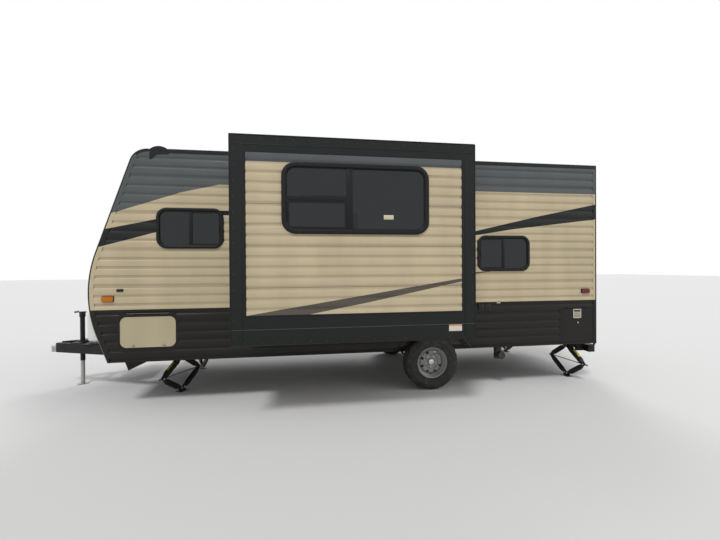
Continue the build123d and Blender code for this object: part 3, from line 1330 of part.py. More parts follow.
def make_nodes():
    """Every named piece of the trailer, as drawn."""
    nodes = {}
    holes = {-1: [], 1: []}
    frames, panes = [], []
    for side, x0, x1, z0, z1, radius, bar_x in WALL_WINDOWS:
        bars = [] if bar_x is None else [upright_bar(bar_x, z0, z1)]
        hole, frame, pane = window(side, x0, x1, z0, z1, radius, bars=bars)
        holes[side].append(hole)
        frames.append(frame)
        panes.append(pane)

    latch_z = BAGGAGE_DOOR[2] + 30
    latches = [(BAGGAGE_DOOR[0] + 140, latch_z), (BAGGAGE_DOOR[1] - 132, latch_z)]
    hinges = []
    for name, side, door, places in (
        ("road_baggage_door", -1, BAGGAGE_DOOR, latches),
        ("kerb_baggage_door", 1, BAGGAGE_DOOR, latches),
        ("access_door", -1, ACCESS_DOOR, [ACCESS_LATCH]),
    ):
        nodes[name], fixed = storage_door(side, door, places)
        hinges += fixed
        holes[side].append(door_hole(side, door))
    nodes["entry_door"], nodes["entry_door_pane"], fixed = entry_door()
    hinges += fixed
    holes[1].append(door_hole(1, ENTRY_DOOR))
    nodes["entry_step"] = entry_step()

    slide_gap = SLIDE_CLEARANCE
    slide_hole = block(
        SLIDE_FRONT_X - slide_gap, SLIDE_REAR_X + slide_gap, -2 * HALF_WIDTH, -HALF_INSIDE + 1,
        SLIDE_BOTTOM - slide_gap, SLIDE_TOP + slide_gap,
    )
    holes[-1].append(slide_hole)
    nodes["road_side_wall"] = side_wall(-1, (BAGGAGE_DOOR, ACCESS_DOOR), holes[-1])
    nodes["kerb_side_wall"] = side_wall(1, (BAGGAGE_DOOR, ENTRY_DOOR), holes[1])
    nodes["front_wall"] = front_wall()
    nodes["roof"] = roof()
    nodes["rear_wall"] = rear_wall()
    nodes["floor_deck"] = floor_deck()
    nodes["window_frames"] = frames
    nodes["window_panes"] = panes
    shell, face, fascia, frame, slide_panes = slide_room()
    nodes["slide_shell"] = shell
    nodes["slide_face"] = face
    nodes["slide_fascia"] = fascia
    nodes["slide_window_frame"] = frame
    nodes["slide_window_panes"] = slide_panes

    nodes["chassis_frame"] = chassis_frame()
    nodes["coupler"] = coupler()
    nodes["tongue_jack_tube"], nodes["tongue_jack_leg"] = tongue_jack()
    nodes["axle_and_springs"] = axle_and_springs()
    for name, side in (("road", -1), ("kerb", 1)):
        nodes[name + "_tyre"] = wheel_place(side) * tyre()
        nodes[name + "_rim"] = wheel_place(side) * rim()
        for end in STABILISERS:
            place = stabiliser_place(end, side)
            for piece, solid in stabiliser_parts().items():
                nodes[f"{end}_{name}_{piece}"] = place * solid

    nodes["trims_and_hinges"] = trims(hinges)
    nodes["roof_air_conditioner"] = air_conditioner()
    nodes["vents_and_hatches"] = vents_and_hatches()
    nodes["amber_lamps"] = marker_lamps(FRONT_MARKER)
    nodes["red_lamps"] = marker_lamps(REAR_MARKER) + rear_lamps()
    nodes["awning"] = awning()
    nodes["gas_bottles"] = gas_bottles()
    nodes["battery_box"] = battery_box()
    return nodes


def solids_of(shape):
    """Every solid of a shape or of a list of shapes."""
    pieces = shape if isinstance(shape, list) else [shape]
    return [solid for piece in pieces for solid in piece.solids()]


def main():
    """Write one file for each named piece."""
    os.makedirs("parts", exist_ok=True)
    to_origin = Pos(-MID_X, -MID_Y, 0)
    for name, shape in make_nodes().items():
        solids = [to_origin * solid for solid in solids_of(shape)]
        piece = solids[0] if len(solids) == 1 else Compound(children=solids)
        export_step(piece, f"parts/{name}.step")


main()
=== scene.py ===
"""Looks of the travel caravan: paint, glass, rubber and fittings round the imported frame.

Metres. X runs to the rear, Y to the kerb side and Z up. Places along the body are measured
from the nose, across it from the centreline, and upwards from the ground.
"""
import contextlib
import json
import math

import bmesh
import bpy
from mathutils import Matrix, Vector


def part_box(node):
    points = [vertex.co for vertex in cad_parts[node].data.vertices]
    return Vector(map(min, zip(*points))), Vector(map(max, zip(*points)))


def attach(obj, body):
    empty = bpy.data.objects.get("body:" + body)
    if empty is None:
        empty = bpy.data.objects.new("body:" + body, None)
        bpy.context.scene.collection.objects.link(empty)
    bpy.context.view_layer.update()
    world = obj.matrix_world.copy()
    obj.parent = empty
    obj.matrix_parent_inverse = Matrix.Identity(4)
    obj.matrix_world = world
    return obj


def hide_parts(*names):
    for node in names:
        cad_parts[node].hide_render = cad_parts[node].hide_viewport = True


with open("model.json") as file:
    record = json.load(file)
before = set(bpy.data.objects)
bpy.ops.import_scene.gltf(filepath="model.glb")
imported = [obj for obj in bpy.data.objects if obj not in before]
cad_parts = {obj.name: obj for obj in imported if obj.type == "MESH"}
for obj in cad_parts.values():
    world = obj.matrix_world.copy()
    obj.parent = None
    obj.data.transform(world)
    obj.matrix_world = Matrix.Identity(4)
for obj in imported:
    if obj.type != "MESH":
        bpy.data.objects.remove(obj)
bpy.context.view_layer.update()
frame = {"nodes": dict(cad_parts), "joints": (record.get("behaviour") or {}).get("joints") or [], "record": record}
nodes = frame["nodes"]

# Places taken from the frame
NOSE_X, ROAD_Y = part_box("road_side_wall")[0].xy
REAR_X, KERB_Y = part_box("kerb_side_wall")[1].xy
MID_Y = (ROAD_Y + KERB_Y) / 2
ROOF_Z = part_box("roof")[1].z
SLIDE_FACE_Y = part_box("slide_fascia")[0].y
HALF = (KERB_Y - ROAD_Y) / 2
SLIDE_PLANE = MID_Y - SLIDE_FACE_Y
BODY_END = REAR_X - NOSE_X
UP = Vector((0, 0, 1))

# Camera, fitted to the straight edges of the photo
CAMERA_BACK = 2.303
CAMERA_AWAY = 4.948
CAMERA_HEIGHT = 1.611
CAMERA_YAW = math.radians(9.29)
CAMERA_PITCH = math.radians(0.41)
CAMERA_ROLL = math.radians(-0.35)
CAMERA_LENS = 20.0

# Paint, as linear colours
CREAM = (0.484, 0.408, 0.27)
SLATE = (0.086, 0.093, 0.097)
WEDGE = (0.01, 0.011, 0.011)
SKIRT = (0.0105, 0.0095, 0.008)
FASCIA = (0.0095, 0.0102, 0.0106)
TAN = (0.43, 0.372, 0.248)
STRIPE = (0.085, 0.075, 0.06)
INSIDE = (0.3, 0.25, 0.19)

# Paint lines on the walls: a level, or x and z of two points each
BAND_LEVEL = 2.598
BAND_RISES = (((0.21, 2.228), (0.991, 2.494)), ((0.991, 2.494), (1.423, 2.598)))
SKIRT_LEVEL = 1.14
FRONT_WEDGE_TOP = ((0.147, 2.054), (0.733, 2.183))
FRONT_WEDGE_BOTTOM = ((0.105, 1.854), (0.732, 2.032))
FRONT_WEDGE_END = (2.236, 2.29)
FRONT_WEDGE_TIP = (((1.668, 2.236), (2.56, 2.263)), ((1.668, 2.29), (2.56, 2.263)))
REAR_WEDGE_TOPS = (((4.662, 2.077), (5.533, 2.276)), ((5.533, 2.276), (6.256, 2.424)))
REAR_WEDGE_BOTTOMS = (((4.662, 2.021), (5.176, 2.103)), ((5.176, 2.103), (6.216, 2.227)))
FRONT_SLOPE_END = 1.1
REAR_WEDGE_START = 3.6
TAIL_TOP = ((4.662, 1.536), (4.885, 1.5475))
TAIL_BOTTOM = ((4.662, 1.5135), (4.885, 1.5475))
SLIDE_STRIPE_TOP = ((1.829, 1.134), (4.104, 1.485))
SLIDE_STRIPE_LOW = ((2.383, 1.12), (3.069, 1.244))
SLIDE_STRIPE_HIGH = ((3.069, 1.244), (4.104, 1.452))
KERB_TAIL_TOP = ((4.104, 1.485), (4.885, 1.5475))
KERB_TAIL_BOTTOM = ((4.104, 1.452), (4.885, 1.5475))
SLIDE_STRIP_LEVEL = 2.673

# Lapped seams between the sheets of the slide-out's siding
SHEET_SEAMS = (1.408, 1.829, 2.253)
SEAM = (0.14, 0.117, 0.078)
SEAM_HALF = 0.0024

# How deep behind the outer faces the inside finish starts, and behind the nose
INSIDE_DEPTH = 0.046
SLIDE_INSIDE_DEPTH = 0.03
INSIDE_START = 0.8

# The light panel of a storage door: x from, x to, z from, z to, corner radius
DOOR_PANEL = (0.329, 0.931, 0.701, 1.053, 0.07)


def place(x, y, z):
    """A point of the frame from its place along, across and above the trailer."""
    return Vector((NOSE_X + x, MID_Y + y, z))


class Shader:
    """A principled material with a short way to write its nodes."""

    def __init__(self, name, color, roughness=0.5, metallic=0.0, **settings):
        self.material = bpy.data.materials.new(name)
        self.material.use_nodes = True
        self.tree = self.material.node_tree
        self.surface = self.tree.nodes["Principled BSDF"]
        self.surface.inputs["Base Color"].default_value = (*color, 1.0)
        self.surface.inputs["Roughness"].default_value = roughness
        self.surface.inputs["Metallic"].default_value = metallic
        for socket, value in settings.items():
            self.surface.inputs[socket.replace("_", " ")].default_value = value
        self.coords = self.tree.nodes.new("ShaderNodeTexCoord").outputs["Object"]

    def feed(self, socket, value):
        """Link an output, or set a plain value."""
        if isinstance(value, bpy.types.NodeSocket):
            self.tree.links.new(value, socket)
        elif isinstance(value, tuple) and len(value) == 3 and socket.type == "RGBA":
            socket.default_value = (*value, 1.0)
        else:
            socket.default_value = value

    def node(self, kind, inputs=(), output=0, **settings):
        """A node with its settings and inputs; gives one of its outputs."""
        made = self.tree.nodes.new("ShaderNode" + kind)
        for name, value in settings.items():
            setattr(made, name, value)
        for key, value in dict(inputs).items():
            self.feed(made.inputs[key], value)
        return made.outputs[output]

    def math(self, operation, first, second=0.0, third=0.0):
        return self.node("Math", {0: first, 1: second, 2: third}, operation=operation)

    def axes(self):
        """The three coordinates of the shaded point, in the frame."""
        split = self.tree.nodes.new("ShaderNodeSeparateXYZ")
        self.tree.links.new(self.coords, split.inputs[0])
        return split.outputs

    def noise(self, scale, detail=3.0, stretch=(1, 1, 1), roughness=0.5):
        """Noise from 0 to 1, in features per metre, stretched along the axes."""
        mapped = self.node("Mapping", {"Vector": self.coords, "Scale": stretch})
        return self.node(
            "TexNoise",
            {"Vector": mapped, "Scale": scale, "Detail": detail, "Roughness": roughness},
        )

    def spread(self, value, low, high, out_low=0.0, out_high=1.0):
        """A value moved from one range to another, and kept inside it."""
        return self.node(
            "MapRange", {0: value, 1: low, 2: high, 3: out_low, 4: out_high}, clamp=True
        )

    def mix(self, factor, first, second):
        """A colour between two others."""
        made = self.tree.nodes.new("ShaderNodeMix")
        made.data_type = "RGBA"
        for key, value in ((0, factor), (6, first), (7, second)):
            self.feed(made.inputs[key], value)
        return made.outputs[2]

    def line(self, points):
        """Height above a slanted line, given by x and z of two points along the body."""
        (x0, z0), (x1, z1) = points
        slope = (z1 - z0) / (x1 - x0)
        x, _, z = self.axes()
        level = self.math("MULTIPLY_ADD", x, slope, z0 - slope * (x0 + NOSE_X))
        return self.math("SUBTRACT", z, level)

    def above(self, value, level=0.0):
        return self.math("GREATER_THAN", value, level)

    def below(self, value, level=0.0):
        return self.math("LESS_THAN", value, level)

    def away(self, value, middle):
        """Distance from a middle, to either side."""
        return self.math("ABSOLUTE", self.math("SUBTRACT", value, middle))

    def both(self, *flags):
        """1 where every flag is 1."""
        first, *rest = flags
        for flag in rest:
            first = self.math("MULTIPLY", first, flag)
        return first

    def either(self, *flags):
        """1 where any flag is 1."""
        first, *rest = flags
        for flag in rest:
            first = self.math("MAXIMUM", first, flag)
        return first

    def color(self, value):
        self.feed(self.surface.inputs["Base Color"], value)

    def gloss(self, scale, low, high, detail=4.0):
        """Roughness that wanders between two values."""
        value = self.spread(self.noise(scale, detail), 0.3, 0.7, low, high)
        self.feed(self.surface.inputs["Roughness"], value)

    def bump(self, height, distance, strength=1.0):
        """Bump from a height of 0 to 1 that stands for a real depth."""
        made = self.node("Bump", {"Height": height, "Distance": distance, "Strength": strength})
        self.feed(self.surface.inputs["Normal"], made)


def weathered(shader, color, amount=0.12, scale=3.0):
    """A colour with faint streaks and patches."""
    streaks = shader.noise(scale, 4.0, (1.0, 1.0, 0.25))
    shade = shader.spread(streaks, 0.3, 0.75, 1.0 - amount, 1.0 + amount * 0.4)
    return shader.node("VectorMath", {0: color, "Scale": shade}, operation="SCALE")


def painted_groove_shade(shader, color, plane):
    """A colour with painted shade between the ribs of a side wall, and a little lighter on their tips."""
    out = shader.away(shader.axes()[1], MID_Y)
    shade = shader.spread(out, plane - 0.0072, plane - 0.0008, 0.8, 1.02)
    return shader.node("VectorMath", {0: color, "Scale": shade}, operation="SCALE")


def sheet_surface(shader):
    """Uneven gloss and shallow waves of thin painted sheet."""
    shader.gloss(9.0, 0.36, 0.5, 3.0)
    shader.bump(shader.noise(5.0, 2.0, (0.4, 0.4, 3.0)), 0.0012)


def slide_stripe(shader):
    """1 inside the long grey stripe that rises to the rear."""
    low = shader.math("MINIMUM", shader.line(SLIDE_STRIPE_LOW), shader.line(SLIDE_STRIPE_HIGH))
    return shader.both(shader.below(shader.line(SLIDE_STRIPE_TOP)), shader.above(low))


def wall_paint():
    """Painted ribbed sheet with the dark bands and wedges of the two long sides."""
    s = Shader("siding_paint", CREAM, 0.42, Specular_IOR_Level=0.25)
    x, y, z = s.axes()
    band = s.either(*(s.above(s.line(edge)) for edge in BAND_RISES), s.above(z, BAND_LEVEL))
    front_slope = s.both(
        s.below(s.line(FRONT_WEDGE_TOP)),
        s.above(s.line(FRONT_WEDGE_BOTTOM)),
        s.below(x, NOSE_X + FRONT_SLOPE_END),
    )
    front_level = s.both(
        s.above(z, FRONT_WEDGE_END[0]),
        s.below(z, FRONT_WEDGE_END[1]),
        s.above(s.line(FRONT_WEDGE_TIP[0])),
        s.below(s.line(FRONT_WEDGE_TIP[1])),
        s.above(x, NOSE_X + FRONT_SLOPE_END),
    )
    under = [s.below(s.line(edge)) for edge in REAR_WEDGE_TOPS]
    over = s.either(*(s.above(s.line(edge)) for edge in REAR_WEDGE_BOTTOMS))
    rear_wedge = s.both(*under, over, s.above(x, NOSE_X + REAR_WEDGE_START))
    road_tail = s.both(
        s.below(s.line(TAIL_TOP)),
        s.above(s.line(TAIL_BOTTOM)),
        s.above(x, NOSE_X + REAR_WEDGE_START),
        s.below(y, MID_Y),
    )
    stripe_end = NOSE_X + KERB_TAIL_TOP[0][0]
    kerb_stripe = s.both(slide_stripe(s), s.below(x, stripe_end))
    kerb_tail = s.both(
        s.below(s.line(KERB_TAIL_TOP)), s.above(s.line(KERB_TAIL_BOTTOM)), s.above(x, stripe_end),
    )
    stripes = s.either(road_tail, s.both(s.either(kerb_stripe, kerb_tail), s.above(y, MID_Y)))
    wedge = s.either(front_slope, front_level, rear_wedge)
    paint = s.mix(band, CREAM, SLATE)
    paint = s.mix(s.both(wedge, s.math("SUBTRACT", 1.0, band)), paint, WEDGE)
    paint = s.mix(stripes, paint, STRIPE)
    paint = s.mix(s.below(z, SKIRT_LEVEL), paint, SKIRT)
    inner = s.both(
        s.below(s.away(y, MID_Y), HALF - INSIDE_DEPTH),
        s.below(x, REAR_X - INSIDE_DEPTH),
        s.above(x, NOSE_X + INSIDE_START),
    )
    # Weathered streaks, and painted shade between the ribs
    paint = painted_groove_shade(s, weathered(s, paint), HALF)
    s.color(s.mix(inner, paint, INSIDE))
    sheet_surface(s)
    return s.material


def slide_paint():
    """The same sheet on the slide-out's face, with its own stripe and top strip."""
    s = Shader("slide_siding_paint", CREAM, 0.42, Specular_IOR_Level=0.25)
    _, y, z = s.axes()
    paint = s.mix(slide_stripe(s), CREAM, STRIPE)
    paint = s.mix(s.above(z, SLIDE_STRIP_LEVEL), paint, SLATE)
    # Weathered streaks, and painted shade between the ribs
    paint = painted_groove_shade(s, weathered(s, paint), SLIDE_PLANE)
    for level in SHEET_SEAMS:
        paint = s.mix(s.below(s.away(z, level), SEAM_HALF), paint, SEAM)
    s.color(s.mix(s.above(y, MID_Y - SLIDE_PLANE + SLIDE_INSIDE_DEPTH), paint, INSIDE))
    sheet_surface(s)
    return s.material


def painted(name, color, roughness=0.4, amount=0.12, scale=4.0, metallic=0.0, grain=0.0004, **settings):
    """Painted or bare sheet with uneven gloss and a faint orange peel."""
    s = Shader(name, color, roughness, metallic, **settings)
    s.color(weathered(s, color, amount, scale))
    s.gloss(scale * 4, roughness * 0.8, min(1.0, roughness * 1.25))
    s.bump(s.noise(220.0, 2.0), grain)
    return s.material


def door_skin():
    """Smooth tan panel with round corners, in a rim and hinges as dark as the skirt."""
    s = Shader("door_skin", TAN, 0.42, Specular_IOR_Level=0.25)
    x, _, z = s.axes()
    x0, x1, z0, z1, radius = DOOR_PANEL
    reaches = []
    for value, low, high in ((x, NOSE_X + x0, NOSE_X + x1), (z, z0, z1)):
        away = s.away(value, (low + high) / 2)
        past = s.math("MAXIMUM", s.math("SUBTRACT", away, (high - low) / 2 - radius), 0.0)
        reaches.append(s.math("MULTIPLY", past, past))
    rim = s.above(s.math("SQRT", s.math("ADD", *reaches)), radius)
    s.color(s.mix(rim, weathered(s, TAN, 0.08, 3.0), SKIRT))
    s.gloss(12.0, 0.36, 0.52)
    s.bump(s.noise(220.0, 2.0), 0.0004)
    return s.material


def glass():
    """Dark tinted glass."""
    s = Shader("tinted_glass", (0.007, 0.01, 0.011), 0.03, IOR=1.45, Transmission_Weight=0.15)
    s.bump(s.noise(2.2, 1.0), 0.0008)
    return s.material


def rubber():
    """Tyre rubber, dusty on its tread."""
    s = Shader("tyre_rubber", (0.018, 0.018, 0.018), 0.8)
    dust = s.spread(s.noise(18.0, 5.0), 0.45, 0.8)
    s.color(s.mix(dust, (0.016, 0.016, 0.016), (0.055, 0.048, 0.04)))
    s.bump(s.noise(300.0, 2.0), 0.0005)
    return s.material


def board():
    """Sealed floor board with a streaky grain."""
    s = Shader("floor_board", (0.1, 0.08, 0.06), 0.6)
    grain = s.noise(6.0, 6.0, (0.3, 4.0, 1.0))
    s.color(s.mix(s.spread(grain, 0.3, 0.7), (0.05, 0.045, 0.04), (0.13, 0.1, 0.075)))
    s.bump(grain, 0.0008)
    return s.material


def lens(name, color):
    """Moulded lamp lens with ribs."""
    s = Shader(name, color, 0.25, Specular_IOR_Level=0.3, Coat_Weight=0.12, Coat_Roughness=0.1)
    ribs = s.node(
        "TexWave", {"Vector": s.coords, "Scale": 28.0, "Distortion": 0.0}, output=1, bands_direction="Z"
    )
    # Painted shade in the troughs between the lens ribs
    s.color(s.mix(s.spread(ribs, 0.2, 0.9), tuple(c * 0.55 for c in color), color))
    s.bump(ribs, 0.0012)
    return s.material


# Finish of each slot
MATERIALS = {
    "siding": wall_paint(),
    "slide_siding": slide_paint(),
    "roof_membrane": painted("roof_membrane", (0.62, 0.61, 0.58), 0.7, 0.2, 2.0),
    "floor_board": board(),
    "black_trim": painted("black_trim", FASCIA, 0.38, Specular_IOR_Level=0.22),
    "window_frame": painted("window_frame", (0.007, 0.0075, 0.0085), 0.35, Specular_IOR_Level=0.22),
    "glass": glass(),
    "chassis_paint": painted("chassis_paint", (0.01, 0.01, 0.011), 0.5, 0.3, 5.0, Specular_IOR_Level=0.25),
    "jack_steel": painted("jack_steel", (0.012, 0.012, 0.013), 0.45, 0.35, 9.0, Specular_IOR_Level=0.25),
    "bright_steel": painted("bright_steel", (0.42, 0.42, 0.41), 0.34, 0.2, 12.0, 0.9),
    "tyre_rubber": rubber(),
    "wheel_paint": painted("wheel_paint", (0.25, 0.25, 0.245), 0.35, 0.15, 9.0),
    "aluminium": painted("aluminium", (0.6, 0.6, 0.59), 0.32, 0.12, 9.0, 0.9),
    "black_plastic": painted(
        "black_plastic", (0.012, 0.012, 0.013), 0.6, 0.1, 6.0, grain=0.0008, Specular_IOR_Level=0.3,
    ),
    "amber_lens": lens("amber_lens", (0.56, 0.16, 0.004)),
    "red_lens": lens("red_lens", (0.15, 0.014, 0.007)),
    "awning_guard": painted("awning_guard", (0.02, 0.02, 0.021), 0.4, 0.15, 5.0),
    "door_skin": door_skin(),
    "bottle_paint": painted("bottle_paint", (0.66, 0.66, 0.63), 0.3, 0.15, 7.0),
    "slide_panel": painted("slide_panel", (0.55, 0.54, 0.49), 0.45, 0.12, 4.0),
}
MATERIALS["front_skin"] = MATERIALS["siding"]


def dark_low(name, color, dark, level):
    """Moulded plastic that is dark on the road side wall and under the floor."""
    s = Shader(name, color, 0.42)
    _, y, z = s.axes()
    low = s.either(s.both(s.below(y, ROAD_Y + 0.03), s.below(z, 1.2)), s.below(z, level))
    s.color(s.mix(low, weathered(s, color, 0.1, 6.0), dark))
    s.gloss(16.0, 0.42 * 0.8, 0.42 * 1.25)
    s.bump(s.noise(260.0, 2.0), 0.0004)
    return s.material


def threaded(name, color):
    """Bare steel rod with a fine thread round it, with painted shade in the thread's troughs."""
    s = Shader(name, color, 0.4, 0.85)
    turns = s.node("TexWave", {"Vector": s.coords, "Scale": 140.0}, output=1, bands_direction="DIAGONAL")
    s.color(s.mix(turns, tuple(c * 0.5 for c in color), color))
    s.bump(turns, 0.001)
    return s.material


def two_tone(name, low, high, level):
    """A label or plate of two colours that meet at a level."""
    s = Shader(name, low, 0.5)
    speck = s.spread(s.noise(30.0, 3.0), 0.3, 0.8, 1.0, 0.86)
    paint = s.mix(s.above(s.axes()[2], level), low, high)
    s.color(s.node("VectorMath", {0: paint, "Scale": speck}, operation="SCALE"))
    s.bump(s.noise(90.0, 2.0), 0.0002)
    return s.material


def fins_with_painted_shade(name, color, pitch):
    """Thin pressed fins, one behind the other, with painted shade in the gaps between them."""
    s = Shader(name, color, 0.45, 0.6)
    fins = s.node("TexWave", {"Vector": s.coords, "Scale": 0.5 / pitch}, output=1, bands_direction="X")
    s.color(s.mix(fins, tuple(c * 0.25 for c in color), color))
    s.bump(fins, 0.003)
    return s.material


MATERIALS["white_plastic"] = dark_low("vent_plastic", (0.6, 0.59, 0.55), (0.014, 0.013, 0.013), 0.64)

# Finishes of small pieces, which differ from the one that their slot has
EXTRA = {
    "seal": painted(
        "rubber_seal", (0.008, 0.008, 0.009), 0.7, 0.2, 12.0, grain=0.0008, Specular_IOR_Level=0.2,
    ),
    "sealant": painted("roof_sealant", (0.58, 0.56, 0.5), 0.65, 0.25, 14.0, grain=0.002),
    "edge_light": painted("membrane_edge", (0.6, 0.6, 0.56), 0.6, 0.2, 6.0),
    "label": painted("blank_label", (0.72, 0.71, 0.67), 0.45, 0.08, 20.0),
    "window_label": painted("blank_window_label", (0.55, 0.5, 0.33), 0.45, 0.08, 20.0),
    "skirt_label": two_tone("blank_skirt_label", (0.62, 0.58, 0.5), (0.52, 0.27, 0.15), 0.966),
    "jack_label": painted("blank_jack_label", (0.62, 0.5, 0.05), 0.5, 0.3, 24.0),
    "screw": painted("trim_screws", (0.055, 0.055, 0.056), 0.35, 0.3, 40.0, 0.6),
    "zinc": painted("zinc_plate", (0.5, 0.49, 0.46), 0.33, 0.3, 30.0, 0.95),
    "chrome": painted("chrome_plate", (0.62, 0.62, 0.62), 0.12, 0.1, 14.0, 1.0),
    "thread": threaded("jack_thread", (0.16, 0.155, 0.15)),
    "access_skin": painted("access_skin", (0.0125, 0.0112, 0.009), 0.42, Specular_IOR_Level=0.22),
    # Fins with painted shade in the gaps between them
    "fins": fins_with_painted_shade("fins_with_painted_shade", (0.45, 0.45, 0.44), 0.004),
    "clear": painted("clear_lens", (0.6, 0.6, 0.6), 0.15, 0.1, 20.0, Coat_Weight=0.5),
    "foam": painted("foam_grip", (0.013, 0.013, 0.014), 0.9, 0.3, 60.0, grain=0.002),
    "bead": painted("trim_bead", (0.16, 0.16, 0.155), 0.35, 0.2, 9.0),
    # A light strip on the storage doors' gutters: painted highlight along their top ledge
    "gutter": painted("door_gutter_painted_highlight", (0.38, 0.35, 0.26), 0.45, 0.15, 12.0),
    # A light line along the fascia's skirt joint: painted highlight on its bend
    "skirt_line_highlight": painted("skirt_joint_painted_highlight", (0.05, 0.052, 0.05), 0.4, 0.2, 9.0),
    "plate": two_tone("bare_plate", (0.33, 0.28, 0.19), (0.02, 0.018, 0.016), 0.979),
    "plate_frame": painted("plate_frame", (0.56, 0.54, 0.46), 0.4, 0.2, 20.0),
}


# The two long sides, with the way out of each
SIDES = (("road", -1), ("kerb", 1))


def on_wall(side, x, out, z, plane=HALF):
    """A point by its place along and above the trailer and its distance out from a side wall."""
    return place(x, side * (plane + out), z)


def outward(side):
    """The direction out of a side wall."""
    return Vector((0, side, 0))


def box(bm, low, high, round_by=0.0, steps=2):
    """A box with rounded edges between two corners given in any order."""
    verts = bmesh.ops.create_cube(bm, size=1.0)["verts"]
    centre = (low + high) / 2
    size = high - low
    for vert in verts:
        vert.co = centre + Vector(c * abs(s) for c, s in zip(vert.co, size))
    if round_by:
        edges = list({edge for vert in verts for edge in vert.link_edges})
        bmesh.ops.bevel(
            bm, geom=edges, offset=round_by, segments=steps, profile=0.5, affect="EDGES", clamp_overlap=True
        )


def wall_box(bm, side, x0, x1, z0, z1, near, far, round_by=0.002, plane=HALF):
    """A rounded box on a side wall, from one distance out to another."""
    box(bm, on_wall(side, x0, near, z0, plane), on_wall(side, x1, far, z1, plane), round_by)


def wall_plate(bm, side, points, near, far):
    """A flat plate with an outline of (x, z) points on a side wall."""
    faces = [[bm.verts.new(on_wall(side, x, out, z)) for x, z in points] for out in (near, far)]
    for face in faces:
        bm.faces.new(face)
    for k in range(len(points)):
        bm.faces.new((faces[0][k - 1], faces[0][k], faces[1][k], faces[1][k - 1]))


def loop_faces(bm, rings, closed):
    """Quads between rings of vertices, with flat ends if the rings don't close."""
    count = len(rings[0])
    spans = zip(rings, rings[1:] + rings[:1]) if closed else zip(rings, rings[1:])
    for first, second in spans:
        for k in range(count):
            following = (k + 1) % count
            bm.faces.new((first[k], first[following], second[following], second[k]))
    if not closed:
        bm.faces.new(rings[0][::-1])
        bm.faces.new(rings[-1])


def sweep(bm, stations, section, closed=False):
    """Push a section of (across, out) pairs along stations of point, across and out vectors."""
    rings = [
        [bm.verts.new(point + across * a + out * b) for a, b in section]
        for point, across, out in stations
    ]
    loop_faces(bm, rings, closed)


def rounded_outline(x0, x1, z0, z1, radius, steps=7, grow=0.0):
    """Points of a rounded rectangle, grown to all sides: x, z and the inward direction at each."""
    x0, x1, z0, z1 = x0 - grow, x1 + grow, z0 - grow, z1 + grow
    if radius <= 0:
        return [(x0, z0, 1, 1), (x1, z0, -1, 1), (x1, z1, -1, -1), (x0, z1, 1, -1)]
    points = []
    left, right, low, high = x0 + radius, x1 - radius, z0 + radius, z1 - radius
    for quarter, (cx, cz) in enumerate(((right, high), (left, high), (left, low), (right, low))):
        for step in range(steps + 1):
            angle = math.radians(90 * (quarter + step / steps))
            c, s = math.cos(angle), math.sin(angle)
            points.append((cx + radius * c, cz + radius * s, -c, -s))
    return points


def wall_ring(bm, side, outline, section, plane=HALF):
    """Push a section of (inward, out) pairs round an outline on a side wall."""
    stations = [
        (on_wall(side, x, 0, z, plane), Vector((nx, 0, nz)), outward(side)) for x, z, nx, nz in outline
    ]
    sweep(bm, stations, section, closed=True)


def bar_section(width, low, high, chamfer=0.002):
    """A flat bar's section, with its outer corners cut."""
    side = high - chamfer
    return ((0, low), (width, low), (width, side), (width - chamfer, high), (chamfer, high), (0, side))


def frame_of(direction):
    """Two directions square to one another and to the given one."""
    direction = direction.normalized()
    helper = UP if abs(direction.z) < 0.9 else Vector((1, 0, 0))
    across = direction.cross(helper).normalized()
    return across, direction.cross(across).normalized()


def tube(bm, points, radius, sides=10, closed=False):
    """A round tube along points."""
    stations = []
    across = None
    count = len(points)
    for number, point in enumerate(points):
        before = points[number - 1] if number or closed else point
        after = points[(number + 1) % count] if number + 1 < count or closed else point
        direction = (after - before).normalized()
        if across is None:
            across, _ = frame_of(direction)
        across = (across - direction * across.dot(direction)).normalized()
        stations.append((point, across, direction.cross(across)))
    angles = [2 * math.pi * k / sides for k in range(sides)]
    circle = [(radius * math.cos(angle), radius * math.sin(angle)) for angle in angles]
    sweep(bm, stations, circle, closed)


def around(axis, angle, radius):
    """The way from a point on an axis to a point beside it."""
    across, up = frame_of(axis)
    return across * (radius * math.cos(angle)) + up * (radius * math.sin(angle))


def lathe(bm, profile, centre, axis, turns=24, wave=None, closed=False):
    """Turn (radius, distance) pairs round an axis; wave changes the radius by turn and pair."""
    axis = axis.normalized()
    rings = []
    for number, (radius, distance) in enumerate(profile):
        ring = []
        for k in range(turns):
            reach = radius + (wave(k, number) if wave else 0.0)
            spot = centre + axis * distance + around(axis, 2 * math.pi * k / turns, reach)
            ring.append(bm.verts.new(spot))
        rings.append(ring)
    loop_faces(bm, rings, closed)


def screws(bm, points, axis, radius=0.0045, height=0.0025, turns=8):
    """Domed screw heads at points, standing along an axis."""
    for point in points:
        lathe(bm, ((radius, -0.0005), (radius, height * 0.5), (radius * 0.6, height)), point, axis, turns)


@contextlib.contextmanager
def new_piece(name, slot, finish=None, body="caravan", sharp=40.0, replaces=()):
    """A mesh to fill, which then becomes an object with its finish and rides on a body."""
    bm = bmesh.new()
    yield bm
    bmesh.ops.recalc_face_normals(bm, faces=bm.faces)
    for face in bm.faces:
        face.smooth = True
    mesh = bpy.data.meshes.new(name)
    bm.to_mesh(mesh)
    bm.free()
    mesh.set_sharp_from_angle(angle=math.radians(sharp))
    obj = bpy.data.objects.new(name, mesh)
    bpy.context.collection.objects.link(obj)
    mesh.materials.append(EXTRA[finish] if finish else MATERIALS[slot])
    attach(obj, body)
    if replaces:
        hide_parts(*replaces)


